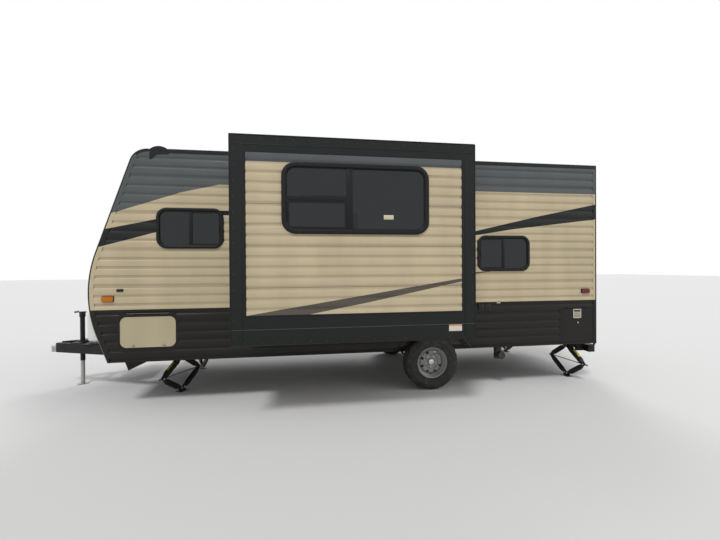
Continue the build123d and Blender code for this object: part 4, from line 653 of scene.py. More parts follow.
# Framed windows: name, body, side, wall plane, x from, x to, z from, z to, corner radius,
# and the x and z range of the leaf that slides
WINDOWS = (
    ("front_road", "caravan", -1, HALF, 0.728, 1.477, 1.842, 2.315, 0.115, (1.102, 1.443, 1.876, 2.281)),
    ("rear_road", "caravan", -1, HALF, 4.678, 5.426, 1.546, 2.02, 0.115, (4.712, 5.052, 1.58, 1.986)),
    ("front_kerb", "caravan", 1, HALF, 0.728, 1.477, 1.842, 2.315, 0.115, (0.762, 1.102, 1.876, 2.281)),
    ("middle_kerb", "caravan", 1, HALF, 3.56, 4.48, 1.62, 2.18, 0.125, (3.594, 4.02, 1.654, 2.146)),
    ("rear_kerb", "caravan", 1, HALF, 5.2, 5.8, 1.7, 2.1, 0.105, None),
    ("slide", "slide_room", -1, SLIDE_PLANE, 2.177, 3.722, 1.953, 2.677, 0.14, (2.23, 2.842, 2.004, 2.294)),
    ("entry", "entry_door", 1, HALF, 2.7, 3.06, 1.56, 2.2, 0.07, None),
)
FRAME_WIDTH = 0.034
GLASS_OUT = -0.008
FRAME_SECTION = (
    (0.0, -0.007), (0.0, 0.0085), (0.0012, 0.0108), (0.0036, 0.012), (0.027, 0.012), (0.031, 0.0108),
    (0.0336, 0.0072), (0.034, 0.002), (0.034, -0.047), (0.0305, -0.047), (0.0305, -0.007),
)

# The slide window's frame is broader; its sleeve stands inside the hole of the solid
SLIDE_FRAME_WIDTH = 0.044
BROADER = SLIDE_FRAME_WIDTH - FRAME_WIDTH
SLIDE_FRAME_SECTION = tuple(
    (inward + (BROADER if inward > 0.005 else 0.0), out)
    for inward, out in FRAME_SECTION
)

# The soft seal round a frame's outside, as inward and out
OUTER_SEAL = ((0, -0.007), (0.006, -0.007), (0.006, 0.004), (0.002, 0.003))

# The x of the slide window's upright and the z of its lower bar, from and to
SLIDE_UPRIGHT = (2.838, 2.904)
SLIDE_BAR = (2.292, 2.347)


def make_window_frames():
    """The window frames, rounder at their corners than the solids are."""
    _, _, side, plane, x0, x1, z0, z1, radius, _ = next(row for row in WINDOWS if row[0] == "slide")
    with new_piece(
        "slide_round_frame", "window_frame", body="slide_room", sharp=50.0,
        replaces=("slide_window_frame",),
    ) as bm:
        wall_ring(bm, side, rounded_outline(x0, x1, z0, z1, radius, 12), SLIDE_FRAME_SECTION, plane)
        wall_box(bm, side, *SLIDE_UPRIGHT, z0 + 0.041, z1 - 0.041, -0.018, 0.0, 0.0025, plane)
        wall_box(bm, side, x0 + 0.041, SLIDE_UPRIGHT[0] + 0.003, *SLIDE_BAR, -0.018, -0.001, 0.0025, plane)
    with new_piece("slide_glass_strip", "glass", body="slide_room") as bm:
        wall_box(
            bm, side, SLIDE_UPRIGHT[1] - 0.002, 2.9555, z0 + 0.046, z1 - 0.046, GLASS_OUT - 0.005,
            GLASS_OUT, 0.0001, plane,
        )

    with new_piece("round_window_frames", "window_frame", sharp=50.0, replaces=("window_frames",)) as bm:
        for name, body, side, plane, x0, x1, z0, z1, radius, leaf in WINDOWS:
            if body != "caravan":
                continue
            wall_ring(bm, side, rounded_outline(x0, x1, z0, z1, radius, 12), FRAME_SECTION, plane)
            if leaf:
                middle = (x0 + x1) / 2
                half = FRAME_WIDTH / 2
                wall_box(
                    bm, side, middle - half, middle + half, z0 + 0.031, z1 - 0.031, -0.018, 0.0, 0.0025,
                    plane,
                )


def dress_windows():
    """Rubber gaskets, sliding leaves, latches and drain covers of the framed windows."""
    for name, body, side, plane, x0, x1, z0, z1, radius, leaf in WINDOWS:
        with new_piece(f"{name}_window_gasket", "window_frame", "seal", body=body) as bm:
            edge = (SLIDE_FRAME_WIDTH if name == "slide" else FRAME_WIDTH) - 0.001
            inner = radius - (0.019 if name == "entry" else edge)
            outline = rounded_outline(x0, x1, z0, z1, inner, grow=-edge)
            lip = 0.013 if name == "slide" else 0.01
            gasket = (
                (0, GLASS_OUT), (lip, GLASS_OUT), (lip - 0.003, GLASS_OUT + 0.006),
                (0.002, GLASS_OUT + 0.009), (0, 0.002),
            )
            wall_ring(bm, side, outline, gasket, plane)
            outer = rounded_outline(x0, x1, z0, z1, radius + 0.002, grow=0.002)
            wall_ring(bm, side, outer, OUTER_SEAL, plane)

        with new_piece(f"{name}_window_fittings", "window_frame", body=body) as bm:
            if leaf:
                lx0, lx1, lz0, lz1 = leaf
                outline = rounded_outline(lx0, lx1, lz0, lz1, 0.03, grow=-0.004)
                wall_ring(
                    bm, side, outline, bar_section(0.019, GLASS_OUT - 0.001, GLASS_OUT + 0.006, 0.0015),
                    plane,
                )
                grip = lx1 - 0.024 if side * (x0 + x1 - lx0 - lx1) > 0 else lx0 + 0.012
                middle = (lz0 + lz1) / 2
                wall_box(
                    bm, side, grip, grip + 0.012, middle - 0.045, middle + 0.045, GLASS_OUT, 0.004, 0.003,
                    plane,
                )
            count = 4 if x1 - x0 > 1.0 else 2
            for number in range(count):
                x = x0 + (x1 - x0) * (number + 0.5) / count
                wall_box(
                    bm, side, x - 0.022, x + 0.022, z0 + 0.01, z0 + 0.019, 0.011, 0.0145, 0.0015, plane,
                )


def half_round(radius, steps=5):
    """The section of a half-round bead that lies on a wall."""
    return tuple(
        (radius - radius * math.cos(math.pi * k / steps), radius * math.sin(math.pi * k / steps))
        for k in range(steps + 1)
    )


# Outlines on the slide-out, as x from, x to, z from, z to: fascia, siding and the room's walls
FASCIA_BOX = (1.668, 4.252, 0.825, 2.94)
SIDING_BOX = (1.82, 4.1, 1.125, 2.77)
SLIDE_BOX = (1.735, 4.185, 0.84, 2.87)

# Sections, as inward and out: bead round the siding, seals at the wall and behind the fascia
SIDING_BEAD = ((0.004, -0.007), (0.004, 0.0005), (0.001, 0.004), (-0.008, 0.004), (-0.01, 0.0))
WALL_SEAL = ((0, -0.006), (-0.032, -0.0005), (-0.032, 0.002), (-0.01, 0.0028), (0, 0.002))
FASCIA_SEAL = ((0, -0.017), (-0.018, -0.017), (-0.018, -0.019), (-0.008, -0.0202), (0, -0.0202))


def dress_slide_room():
    """Beads and joints of the fascia, its blank labels, and the seals round the room."""
    x0, x1, z0, z1 = FASCIA_BOX
    with new_piece("fascia_beads", "black_trim", body="slide_room") as bm:
        wall_ring(
            bm, -1, rounded_outline(x0, x1, z0, z1, 0.012, grow=-0.001), half_round(0.006), SLIDE_PLANE,
        )
        cx0, cx1, cz0, cz1 = SIDING_BOX
        outline = rounded_outline(cx0, cx1, cz0, cz1, 0.0, grow=-0.004)[::-1]
        wall_ring(bm, -1, outline, SIDING_BEAD, SLIDE_PLANE)
        for x in (cx0 - 0.03, cx1 + 0.03):
            wall_box(bm, -1, x - 0.003, x + 0.003, z0 + 0.02, z1 - 0.1, -0.001, 0.003, 0.0015, SLIDE_PLANE)
        wall_box(bm, -1, x0 + 0.01, x1 - 0.01, z1 - 0.104, z1 - 0.098, -0.001, 0.003, 0.0015, SLIDE_PLANE)

    # Thin strip along the fascia's skirt joint, lighter than the fascia as a painted highlight on the bend
    with new_piece("fascia_skirt_joint", "black_trim", "skirt_line_highlight", body="slide_room") as bm:
        wall_box(bm, -1, x0 + 0.008, x1 - 0.008, 0.988, 0.993, -0.001, 0.002, 0.0008, SLIDE_PLANE)

    with new_piece("fascia_screws", "black_trim", "screw", body="slide_room") as bm:
        spots = [(x, z0 + 0.1 + level * 0.155) for x in (x0 + 0.04, x1 - 0.04) for level in range(13)]
        spots += [(x0 + 0.14 + k * 0.1645, z) for k in range(15) for z in (z1 - 0.045, z0 + 0.03)]
        screws(bm, [on_wall(-1, x, 0, z, SLIDE_PLANE) for x, z in spots], outward(-1), 0.005, 0.003)

    sx0, sx1, sz0, sz1 = SLIDE_BOX
    with new_piece("slide_wall_seal", "black_plastic", "seal") as bm:
        outline = rounded_outline(sx0, sx1, sz0, sz1, 0.0, grow=0.002)
        wall_ring(bm, -1, outline, WALL_SEAL)
    with new_piece("slide_fascia_seal", "black_plastic", "seal", body="slide_room") as bm:
        outline = rounded_outline(sx0, sx1, sz0, sz1, 0.0, grow=0.001)
        wall_ring(bm, -1, outline, FASCIA_SEAL, SLIDE_PLANE)

    with new_piece("slide_roof_edges", "aluminium", "edge_light", body="slide_room") as bm:
        for x in (sx0 + 0.02, sx1 - 0.02):
            low = place(x - 0.022, -SLIDE_PLANE + 0.03, sz1)
            high = place(x + 0.022, -HALF + 0.02, sz1 + 0.0012)
            box(bm, low, high, 0.0004)

    with new_piece("blank_window_label", "white_plastic", "window_label", body="slide_room") as bm:
        wall_box(bm, -1, 3.231, 3.337, 2.11, 2.156, GLASS_OUT, GLASS_OUT + 0.0008, 0.0003, SLIDE_PLANE)
    with new_piece("blank_skirt_label", "white_plastic", "skirt_label", body="slide_room") as bm:
        wall_box(bm, -1, 3.943, 4.09, 0.915, 0.986, -0.0005, 0.001, 0.0004, SLIDE_PLANE)


def nose_line(inset, count=44):
    """Points along the side edge of the nose, moved inwards, from the skirt to the roof."""
    outline = []
    spots = {
        (round(vert.co.z, 4), round(vert.co.x - NOSE_X, 4))
        for vert in nodes["road_side_wall"].data.vertices
    }
    for z, x in sorted(spot for spot in spots if spot[1] < 0.9):
        while len(outline) > 1:
            (xa, za), (xb, zb) = outline[-2:]
            if (zb - za) * (x - xa) > (xb - xa) * (z - za):
                break
            outline.pop()
        if not outline or z > outline[-1][1] + 0.002:
            outline.append((x, z))
    lengths = [0.0]
    for (xa, za), (xb, zb) in zip(outline, outline[1:]):
        lengths.append(lengths[-1] + math.hypot(xb - xa, zb - za))
    points = []
    for number in range(count):
        along = lengths[-1] * (number + 0.5) / count
        k = max(i for i, value in enumerate(lengths) if value <= along)
        k = min(k, len(outline) - 2)
        (xa, za), (xb, zb) = outline[k], outline[k + 1]
        span = max(1e-6, lengths[k + 1] - lengths[k])
        t = (along - lengths[k]) / span
        dx, dz = (xb - xa) / span, (zb - za) / span
        points.append((xa + (xb - xa) * t + dz * inset, za + (zb - za) * t - dx * inset))
    return points


# The roof rail's front end, curled down on the wall: x and z of its outline
RAIL_SPOUT = (
    (0.664, 2.872), (0.663, 2.935), (0.674, 2.96), (0.694, 2.978), (0.722, 2.986), (0.872, 2.988),
    (0.872, 2.937), (0.79, 2.934), (0.74, 2.926), (0.704, 2.908), (0.68, 2.884),
)

# A sheet's edge that stands on the trim and slopes into the siding: share of its width, and out;
# where it starts and ends behind the nose, and its start and width at the rear
SHEET_EDGE_NOSE = (0.016, 0.056)
SHEET_EDGE_REAR = (0.018, 0.031)
SHEET_EDGE = ((0, 0.002), (0, 0.0068), (0.04, 0.0074), (0.35, 0.0072), (1, 0.0004), (1, -0.002))


def dress_trims():
    """Screws, edges and front ends of the roof rails, beads, sheet edges and small wall fittings."""
    for name, side in SIDES:
        with new_piece(f"{name}_trim_screws", "black_trim", "screw") as bm:
            spots = [on_wall(side, 0.93 + k * 0.165, 0.006, ROOF_Z - 0.02) for k in range(34)]
            screws(bm, spots, outward(side), 0.0042, 0.0025)

        with new_piece(f"{name}_membrane_edge", "roof_membrane", "edge_light") as bm:
            y0, y1 = sorted((side * (HALF - 0.035), side * (HALF + 0.004)))
            box(bm, place(0.868, y0, ROOF_Z + 0.002), place(BODY_END - 0.004, y1, ROOF_Z + 0.008), 0.002)

        with new_piece(f"{name}_rail_spout", "black_trim") as bm:
            wall_plate(bm, side, RAIL_SPOUT, -0.003, 0.0065)

        with new_piece(f"{name}_nose_bead", "black_trim", "bead") as bm:
            tube(bm, [on_wall(side, x, 0.0055, z) for x, z in nose_line(0.0032, 70)], 0.0022, 6)

        with new_piece(f"{name}_sheet_edges", "siding") as bm:
            near, far = (nose_line(inset, 90)[1:-4] for inset in SHEET_EDGE_NOSE)
            nose = [
                (on_wall(side, xa, 0, za), Vector((xb - xa, 0, zb - za)), outward(side))
                for (xa, za), (xb, zb) in zip(near, far)
            ]
            start, width = SHEET_EDGE_REAR
            rear = [
                (on_wall(side, BODY_END - start, 0, z), Vector((-width, 0, 0)), outward(side))
                for z in (0.515, ROOF_Z - 0.046)
            ]
            sweep(bm, nose, SHEET_EDGE)
            sweep(bm, rear, SHEET_EDGE)

        with new_piece(f"{name}_cable_port", "black_plastic") as bm:
            wall_box(bm, side, 0.297, 0.371, 1.345, 1.379, -0.003, 0.01, 0.012)

        with new_piece(f"{name}_seam_clip", "white_plastic", "label") as bm:
            wall_box(bm, side, 4.95, 5.0, 1.121, 1.13, -0.006, 0.004, 0.0015)


def dress_wheel_arches():
    """Edging of the wheel openings and the bottom rails of the side walls."""
    axle_x = (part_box("road_tyre")[0].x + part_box("road_tyre")[1].x) / 2 - NOSE_X
    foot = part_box("road_side_wall")[0].z
    corners = ((axle_x - 0.515, foot), (axle_x - 0.262, 0.8), (axle_x + 0.262, 0.8), (axle_x + 0.515, foot))
    section = ((0, -0.004), (0.016, -0.004), (0.016, 0.003), (0.012, 0.006), (0.002, 0.006), (0, 0.003))
    for name, side in SIDES:
        with new_piece(f"{name}_skirt_edging", "black_trim") as bm:
            stations = []
            for number, (x, z) in enumerate(corners):
                before = corners[max(0, number - 1)]
                after = corners[min(3, number + 1)]
                normals = []
                for (ax, az), (bx, bz) in ((before, (x, z)), ((x, z), after)):
                    length = math.hypot(bx - ax, bz - az)
                    if length:
                        normals.append(Vector((-(bz - az) / length, 0, (bx - ax) / length)))
                across = sum(normals, Vector()) / len(normals)
                across = across / across.length_squared
                if number in (0, 3):
                    across = Vector((across.x / abs(across.x) / abs(normals[0].x), 0, 0))
                stations.append((on_wall(side, x, 0, z), across, outward(side)))
            sweep(bm, stations, section)
            for x0, x1 in ((0.215, axle_x - 0.535), (axle_x + 0.535, BODY_END - 0.03)):
                wall_box(bm, side, x0, x1, foot + 0.001, foot + 0.02, -0.006, 0.004, 0.0015)


def tyre_profile():
    """Radius and distance out of a tyre's skin, from its outer bead over the tread to the inner one."""
    half = [
        (0.19, 0.0815), (0.196, 0.09), (0.203, 0.0935), (0.206, 0.0975), (0.214, 0.0995), (0.217, 0.0985),
        (0.232, 0.1035), (0.2335, 0.106), (0.237, 0.1065), (0.2385, 0.1055), (0.262, 0.1105),
        (0.282, 0.1118),
        (0.284, 0.1124), (0.288, 0.1123), (0.29, 0.111), (0.306, 0.1075), (0.322, 0.1015), (0.334, 0.095),
        (0.344, 0.0875), (0.351, 0.079), (0.3555, 0.068), (0.3575, 0.056), (0.358, 0.052), (0.349, 0.0505),
        (0.349, 0.044), (0.358, 0.0425), (0.358, 0.03), (0.358, 0.018), (0.349, 0.0165), (0.349, 0.01),
        (0.358, 0.0085),
    ]
    return half + [(radius, -out) for radius, out in reversed(half)]


# Wheel nuts' circle; radius and distance out of the hub cap and of the valve
NUT_CIRCLE = 0.0715
HUB_CAP = (
    (0.0385, 0.024), (0.0385, 0.029), (0.037, 0.031), (0.0368, 0.053), (0.034, 0.0575),
    (0.026, 0.06), (0.01, 0.0608),
)
VALVE = (
    (0.0075, 0.0), (0.0062, 0.008), (0.004, 0.012), (0.004, 0.03), (0.0052, 0.031),
    (0.0052, 0.042), (0.003, 0.044),
)


def dress_wheels():
    """Treaded tyres, wheel nuts, hub caps, valves and balance weights."""
    profile = tyre_profile()
    last = len(profile) - 1

    def tread(k, number):
        step = min(number, last - number)
        if 17 <= step <= 22 and k % 5 == 0:
            return -0.0065 if step > 18 else -0.0035
        if 25 <= step <= 27 and k % 5 == 2:
            return -0.0055
        return 0.0

    for name, side in SIDES:
        low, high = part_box(f"{name}_tyre")
        centre = (low + high) / 2
        axis = outward(side)
        with new_piece(
            f"{name}_treaded_tyre", "tyre_rubber", body=f"{name}_wheel", sharp=32.0,
            replaces=(f"{name}_tyre",),
        ) as bm:
            lathe(bm, profile, centre, axis, 180, tread, closed=True)

        with new_piece(f"{name}_wheel_nuts", "bright_steel", "zinc", body=f"{name}_wheel") as bm:
            for number in range(5):
                spot = centre + around(axis, math.radians(90 + 72 * number), NUT_CIRCLE)
                lathe(bm, ((0.011, 0.0235), (0.011, 0.04), (0.009, 0.0435), (0.004, 0.045)), spot, axis, 6)
                lathe(bm, ((0.0145, 0.0235), (0.0145, 0.0255), (0.0125, 0.027)), spot, axis, 20)

        with new_piece(f"{name}_hub_cap", "bright_steel", "chrome", body=f"{name}_wheel") as bm:
            lathe(bm, HUB_CAP, centre, axis, 40)

        with new_piece(f"{name}_valve", "black_plastic", "seal", body=f"{name}_wheel") as bm:
            _, up = frame_of(axis)
            lathe(bm, VALVE, centre + up * 0.158 + axis * 0.026, axis - up * 0.15, 14)

        with new_piece(f"{name}_balance_weights", "bright_steel", "zinc", body=f"{name}_wheel") as bm:
            for span, start in ((0.16, 0.6), (0.1, 3.9)):
                points = [
                    centre + axis * 0.0945 + around(axis, start + span * t, 0.1965)
                    for t in (-1, -0.6, -0.2, 0.2, 0.6, 1)
                ]
                tube(bm, points, 0.0035, 8)


def joint_place(name):
    """Where a joint's axis is at rest, and its direction."""
    joint = next(j for j in frame["joints"] if j["name"] == name)
    return Vector(joint["pos_m"]), Vector(joint["axis"]).normalized()


# How far the stabilisers' channels rise above their arms' axes, and drop below them
ARM_RISE = 0.042
INNER_ARM_RISE = 0.034
ARM_DROP = 0.024


def arm_channel(body, axis, start, finish, half, way, height):
    """A pressed channel along an arm between its pivots, deeper in the middle than at its ends."""
    span = finish - start
    along = span.normalized()
    normal = axis.cross(along).normalized()
    if normal.z * way < 0:
        normal = -normal
    sheet = 0.0028 if half > 0.02 else 0.0014
    wall = half - sheet
    section = (
        (-half, -ARM_DROP), (-half, height - 0.004), (-half + 0.004, height), (half - 0.004, height),
        (half, height - 0.004), (half, -ARM_DROP), (wall, -ARM_DROP), (wall, height - 0.005),
        (wall - 0.003, height - 0.003), (0.003 - wall, height - 0.003), (-wall, height - 0.005),
        (-wall, -ARM_DROP),
    )
    stations = []
    for share, depth in (
        (0.06, 0.45), (0.1, 0.58), (0.19, 0.93), (0.24, 1.0),
        (0.76, 1.0), (0.81, 0.93), (0.9, 0.58), (0.94, 0.45),
    ):
        stations.append((start + span * share, axis, normal * depth))
    with new_piece(f"{body}_channel", "jack_steel", body=body) as bm:
        sweep(bm, stations, section)


def dress_stabilisers():
    """Pivot bolts, pressed channels and blank yellow labels of the four stabilisers."""
    for end in ("front", "rear"):
        for name in ("road", "kerb"):
            jack = f"{end}_{name}"
            top_out, axis = joint_place(f"{jack}_stabiliser_fold")
            top_in, _ = joint_place(f"{jack}_upper_arm_in_turn")
            knee_out, _ = joint_place(f"{jack}_lower_arm_out_turn")
            knee_in, _ = joint_place(f"{jack}_lower_arm_in_turn")
            foot_out, _ = joint_place(f"{jack}_foot_turn")
            for body, spots, reach in (
                ("caravan", (top_out, top_in), 0.0265),
                (f"{jack}_upper_arm_out", (knee_out,), 0.0195),
                (f"{jack}_upper_arm_in", (knee_in,), 0.0195),
                (f"{jack}_foot", (foot_out, foot_out + (top_in - top_out)), 0.0195),
            ):
                label = "bracket" if body == "caravan" else body.replace(f"{jack}_", "")
                bolt = ((0.0115, reach), (0.0115, reach + 0.005), (0.0085, reach + 0.0075))
                washer = ((0.014, reach - 0.001), (0.014, reach + 0.0015))
                with new_piece(f"{jack}_{label}_bolts", "bright_steel", "zinc", body=body) as bm:
                    for spot in spots:
                        for cheek in (-axis, axis):
                            lathe(bm, bolt, spot, cheek, 6)
                            lathe(bm, washer, spot, cheek, 18)

            far_foot = foot_out + (top_in - top_out)
            for piece, start, finish, half, way, height in (
                ("upper_arm_out", top_out, knee_out, 0.0228, 1, ARM_RISE),
                ("upper_arm_in", top_in, knee_in, 0.0228, 1, INNER_ARM_RISE),
                ("lower_arm_out", knee_out, foot_out, 0.0157, -1, ARM_RISE),
                ("lower_arm_in", knee_in, far_foot, 0.0157, -1, ARM_RISE),
            ):
                arm_channel(f"{jack}_{piece}", axis, start, finish, half, way, height)

            along = (knee_out - top_out).normalized()
            normal = axis.cross(along).normalized()
            if normal.z < 0:
                normal = -normal
            middle = top_out.lerp(knee_out, 0.52)
            with new_piece(
                f"{jack}_blank_label", "white_plastic", "jack_label", body=f"{jack}_upper_arm_out",
            ) as bm:
                for vert in bmesh.ops.create_cube(bm, size=1.0)["verts"]:
                    a, b, c = vert.co
                    flat = along * (a * 0.135) + axis * (b * 0.036)
                    vert.co = middle + flat + normal * (ARM_RISE + c * 0.0012)


# Doors: name, side, x from, x to, z from, z to, corner radius
DOORS = (
    ("road_baggage", -1, 0.329, 0.931, 0.685, 1.075, 0.05),
    ("kerb_baggage", 1, 0.329, 0.931, 0.685, 1.075, 0.05),
    ("access", -1, BODY_END - 0.525, BODY_END - 0.056, 0.57, 1.03, 0.012),
    ("entry", 1, 2.55, 3.21, 0.69, 2.53, 0.06),
)
DOOR_SEAL = ((0.0008, -0.012), (0.0052, -0.012), (0.0052, -0.0015), (0.003, -0.0005), (0.0008, -0.0015))
DOOR_EDGING = ((0, -0.002), (0.01, -0.0005), (0.01, 0.0005), (0.007, 0.0025), (0.002, 0.0025), (0, 0.001))
DOOR_GUTTER = (
    (-0.003, -0.004), (-0.003, 0.011), (-0.0018, 0.012), (0.0, 0.012), (0.001, 0.011),
    (0.001, -0.004),
)

# Turned fittings on the doors and beside them, as radius and distance out; the grab rail's x
ACCESS_LATCH = ((0.0165, -0.001), (0.0165, 0.003), (0.0145, 0.0045), (0.0143, 0.0085), (0.011, 0.0095))
LATCH_KEY = ((0.0105, 0.008), (0.0105, 0.0108), (0.009, 0.0118), (0.003, 0.0118))
LOCK_CYLINDER = ((0.0085, 0.013), (0.0085, 0.0175), (0.0065, 0.0185))
LOCK_KNOB = ((0.024, -0.001), (0.024, 0.006), (0.02, 0.0095), (0.0095, 0.01), (0.009, 0.0125))
RAIL_FOOT = ((0.023, -0.002), (0.023, 0.004), (0.018, 0.008), (0.0125, 0.012))
RAIL_GRIP = ((0.014, 0.0), (0.0158, 0.004), (0.0158, 0.376), (0.014, 0.38))
RAIL_X = 3.29

# The bare plate on the access door: x from, x to, z from, z to
BARE_PLATE = (6.078, 6.197, 0.893, 1.017)


def dress_doors():
    """Seals, edgings, latches and plates of the doors."""
    for name, side, x0, x1, z0, z1, radius in DOORS:
        with new_piece(f"{name}_door_seal", "black_plastic", "seal") as bm:
            gap = rounded_outline(x0, x1, z0, z1, radius + 0.006, grow=0.006)
            wall_ring(bm, side, gap, DOOR_SEAL)
        if name == "access":
            continue
        slot, finish = "white_plastic", "edge_light"
        if name != "entry":
            x0, x1, z0, z1, radius = DOOR_PANEL
            slot, finish = "door_skin", None
        with new_piece(f"{name}_door_edging", slot, finish, body=f"{name}_door") as bm:
            lip = rounded_outline(x0, x1, z0, z1, radius, grow=-0.001)
            wall_ring(bm, side, lip, DOOR_EDGING)

    for name, side in (("road_baggage", -1), ("kerb_baggage", 1)):
        axis = outward(side)
        with new_piece(f"{name}_latch_covers", "black_plastic", body=f"{name}_door") as bm:
            for x in (0.469, 0.799):
                spot = on_wall(side, x, 0, 0.715)
                lathe(bm, ((0.0165, -0.001), (0.0165, 0.002), (0.0152, 0.003)), spot, axis, 24)
                wall_box(bm, side, x - 0.0115, x + 0.0115, 0.713, 0.717, 0.007, 0.0105, 0.0008)
        # Light strip over the gutter: painted highlight along its top ledge
        with new_piece(f"{name}_gutter", "aluminium", "gutter") as bm:
            ends = [(on_wall(side, x, 0, 1.094), UP, axis) for x in (0.404, 0.86)]
            sweep(bm, ends, DOOR_GUTTER)

    spot = on_wall(-1, BODY_END - 0.288, 0, 0.831)
    with new_piece("access_latch_cover", "bright_steel", "foam", body="access_door") as bm:
        lathe(bm, ACCESS_LATCH, spot, outward(-1), 24)
    with new_piece("access_latch_key", "bright_steel", "zinc", body="access_door") as bm:
        lathe(bm, LATCH_KEY, spot, outward(-1), 20)
    x0, x1, z0, z1 = BARE_PLATE
    with new_piece("bare_plate_frame", "white_plastic", "plate_frame", body="access_door") as bm:
        wall_ring(bm, -1, rounded_outline(x0, x1, z0, z1, 0.006), bar_section(0.01, -0.0005, 0.0045, 0.001))
        wall_box(bm, -1, x0 + 0.006, x1 - 0.006, z1 - 0.046, z1 - 0.04, 0.0, 0.004, 0.001)
    with new_piece("bare_plate", "white_plastic", "plate", body="access_door") as bm:
        wall_box(bm, -1, x0 + 0.009, x1 - 0.009, z0 + 0.009, z1 - 0.009, -0.0005, 0.002, 0.0005)

    # Entry door lock, grab rail feet and grip, and porch lamp
    out = outward(1)
    with new_piece("entry_lock_set", "black_plastic", body="entry_door") as bm:
        wall_box(bm, 1, 3.104, 3.171, 1.392, 1.44, 0.013, 0.03, 0.006)
        lathe(bm, LOCK_CYLINDER, on_wall(1, 3.137, 0, 1.474), out, 18)
        lathe(bm, LOCK_KNOB, on_wall(1, 3.137, 0, 1.555), out, 28)
    with new_piece("grab_rail_feet", "black_plastic") as bm:
        for z in (1.075, 1.545):
            lathe(bm, RAIL_FOOT, on_wall(1, RAIL_X, 0, z), out, 24)
    with new_piece("grab_rail_grip", "black_plastic", "foam") as bm:
        lathe(bm, RAIL_GRIP, on_wall(1, RAIL_X, 0.055, 1.12), UP, 20)
    with new_piece("porch_lamp_base", "black_plastic") as bm:
        wall_box(bm, 1, 3.33, 3.43, 1.93, 2.01, -0.004, 0.012, 0.006)
    with new_piece("porch_lamp_lens", "white_plastic", "clear") as bm:
        wall_box(bm, 1, 3.338, 3.422, 1.938, 2.002, 0.008, 0.036, 0.01)

    # Ribbed strips on the step's tread, which lies upside down while stowed
    low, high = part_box("entry_step")
    with new_piece("step_tread_ribs", "black_plastic", "foam", body="entry_step") as bm:
        for number in range(9):
            y = low.y + 0.018 + number * 0.0185
            start = Vector((low.x + 0.02, y, low.z + 0.0045))
            finish = Vector((high.x - 0.02, y + 0.008, low.z + 0.0085))
            box(bm, start, finish, 0.001)


def dress_covers():
    """Lids on the square covers, louvres on the kerb side grilles, and the lamps' bases."""
    with new_piece("square_cover_lids", "black_plastic") as bm:
        for x0 in (4.691, 4.782):
            x1 = x0 + 0.078
            wall_box(bm, -1, x0 + 0.006, x1 - 0.006, 1.03, 1.108, 0.012, 0.0175, 0.003)
            tube(bm, [on_wall(-1, x, 0.0155, 1.111) for x in (x0 + 0.014, x1 - 0.014)], 0.0032, 10)
            wall_box(bm, -1, x0 + 0.03, x1 - 0.03, 1.025, 1.032, 0.012, 0.0205, 0.0015)

    with new_piece("kerb_grille_louvres", "white_plastic") as bm:
        for x0, x1, z0, z1, count in ((4.56, 5.06, 0.86, 1.28, 11), (3.48, 3.76, 1.3, 1.42, 4)):
            pitch = (z1 - z0 - 0.06) / count
            half, middle = pitch * 0.42, (x0 + x1) / 2
            louvre = ((-half, 0), (-half, 0.008), (half, 0.001), (half, 0))
            for number in range(count):
                z = z0 + 0.03 + pitch * (number + 0.5)
                for near, far in ((x0 + 0.025, middle - 0.006), (middle + 0.006, x1 - 0.025)):
                    stations = [(on_wall(1, x, 0.011, z), UP, outward(1)) for x in (near, far)]
                    sweep(bm, stations, louvre)
            corners = [
                on_wall(1, x, 0.012, z)
                for x in (x0 + 0.012, x1 - 0.012) for z in (z0 + 0.012, z1 - 0.012)
            ]
            screws(bm, corners, outward(1), 0.0048, 0.0025)

    with new_piece("marker_lamp_bases", "black_plastic") as bm:
        for side in (-1, 1):
            for x0, x1, z0, z1 in (
                (0.145, 0.266, 1.234, 1.296), (BODY_END - 0.23, BODY_END - 0.112, 1.238, 1.291),
            ):
                outline = rounded_outline(x0, x1, z0, z1, 0.016, grow=0.005)
                wall_ring(bm, side, outline, bar_section(0.008, -0.006, 0.007, 0.002))
                for x in (x0 - 0.001, x1 + 0.001):
                    screws(bm, [on_wall(side, x, 0.007, (z0 + z1) / 2)], outward(side), 0.003, 0.0015)


def rear_ring(bm, y0, y1, z0, z1, radius, section):
    """Push a section of (inward, out) pairs round an outline on the rear wall."""
    stations = [
        (place(BODY_END, y, z), Vector((0, ny, nz)), Vector((1, 0, 0)))
        for y, z, ny, nz in rounded_outline(y0, y1, z0, z1, radius)
    ]
    sweep(bm, stations, section, closed=True)


def dress_rear():
    """Bezels of the rear lamps, reversing lenses, and the bumper's end caps."""
    with new_piece("rear_lamp_bezels", "black_plastic") as bm:
        for y0, y1 in ((-1.095, -0.945), (0.945, 1.095)):
            rear_ring(bm, y0 - 0.01, y1 + 0.01, 0.81, 1.01, 0.012, bar_section(0.018, -0.002, 0.02, 0.004))
        for y in (-1.08, -0.17, 0.0, 0.17, 1.08):
            rear_ring(bm, y - 0.056, y + 0.056, 2.844, 2.896, 0.01, bar_section(0.008, -0.002, 0.01, 0.002))
    with new_piece("reversing_lenses", "white_plastic", "clear") as bm:
        for y0, y1 in ((-1.085, -0.955), (0.955, 1.085)):
            box(bm, place(BODY_END + 0.02, y0, 0.832), place(BODY_END + 0.03, y1, 0.874), 0.004)
    with new_piece("bumper_end_caps", "black_plastic") as bm:
        for side in (-1, 1):
            y0, y1 = sorted((side * 1.01, side * 1.024))
            box(bm, place(6.467, y0, 0.369), place(6.571, y1, 0.477), 0.006)


# Section of the sealant round a vent, and profile of the sealant round a pipe
VENT_SEALANT = ((0, -0.0005), (0.034, -0.0005), (0.03, 0.009), (0.012, 0.0105), (0.003, 0.004))
PIPE_SEALANT = ((0.075, -0.0005), (0.07, 0.005), (0.045, 0.011), (0.033, 0.013))


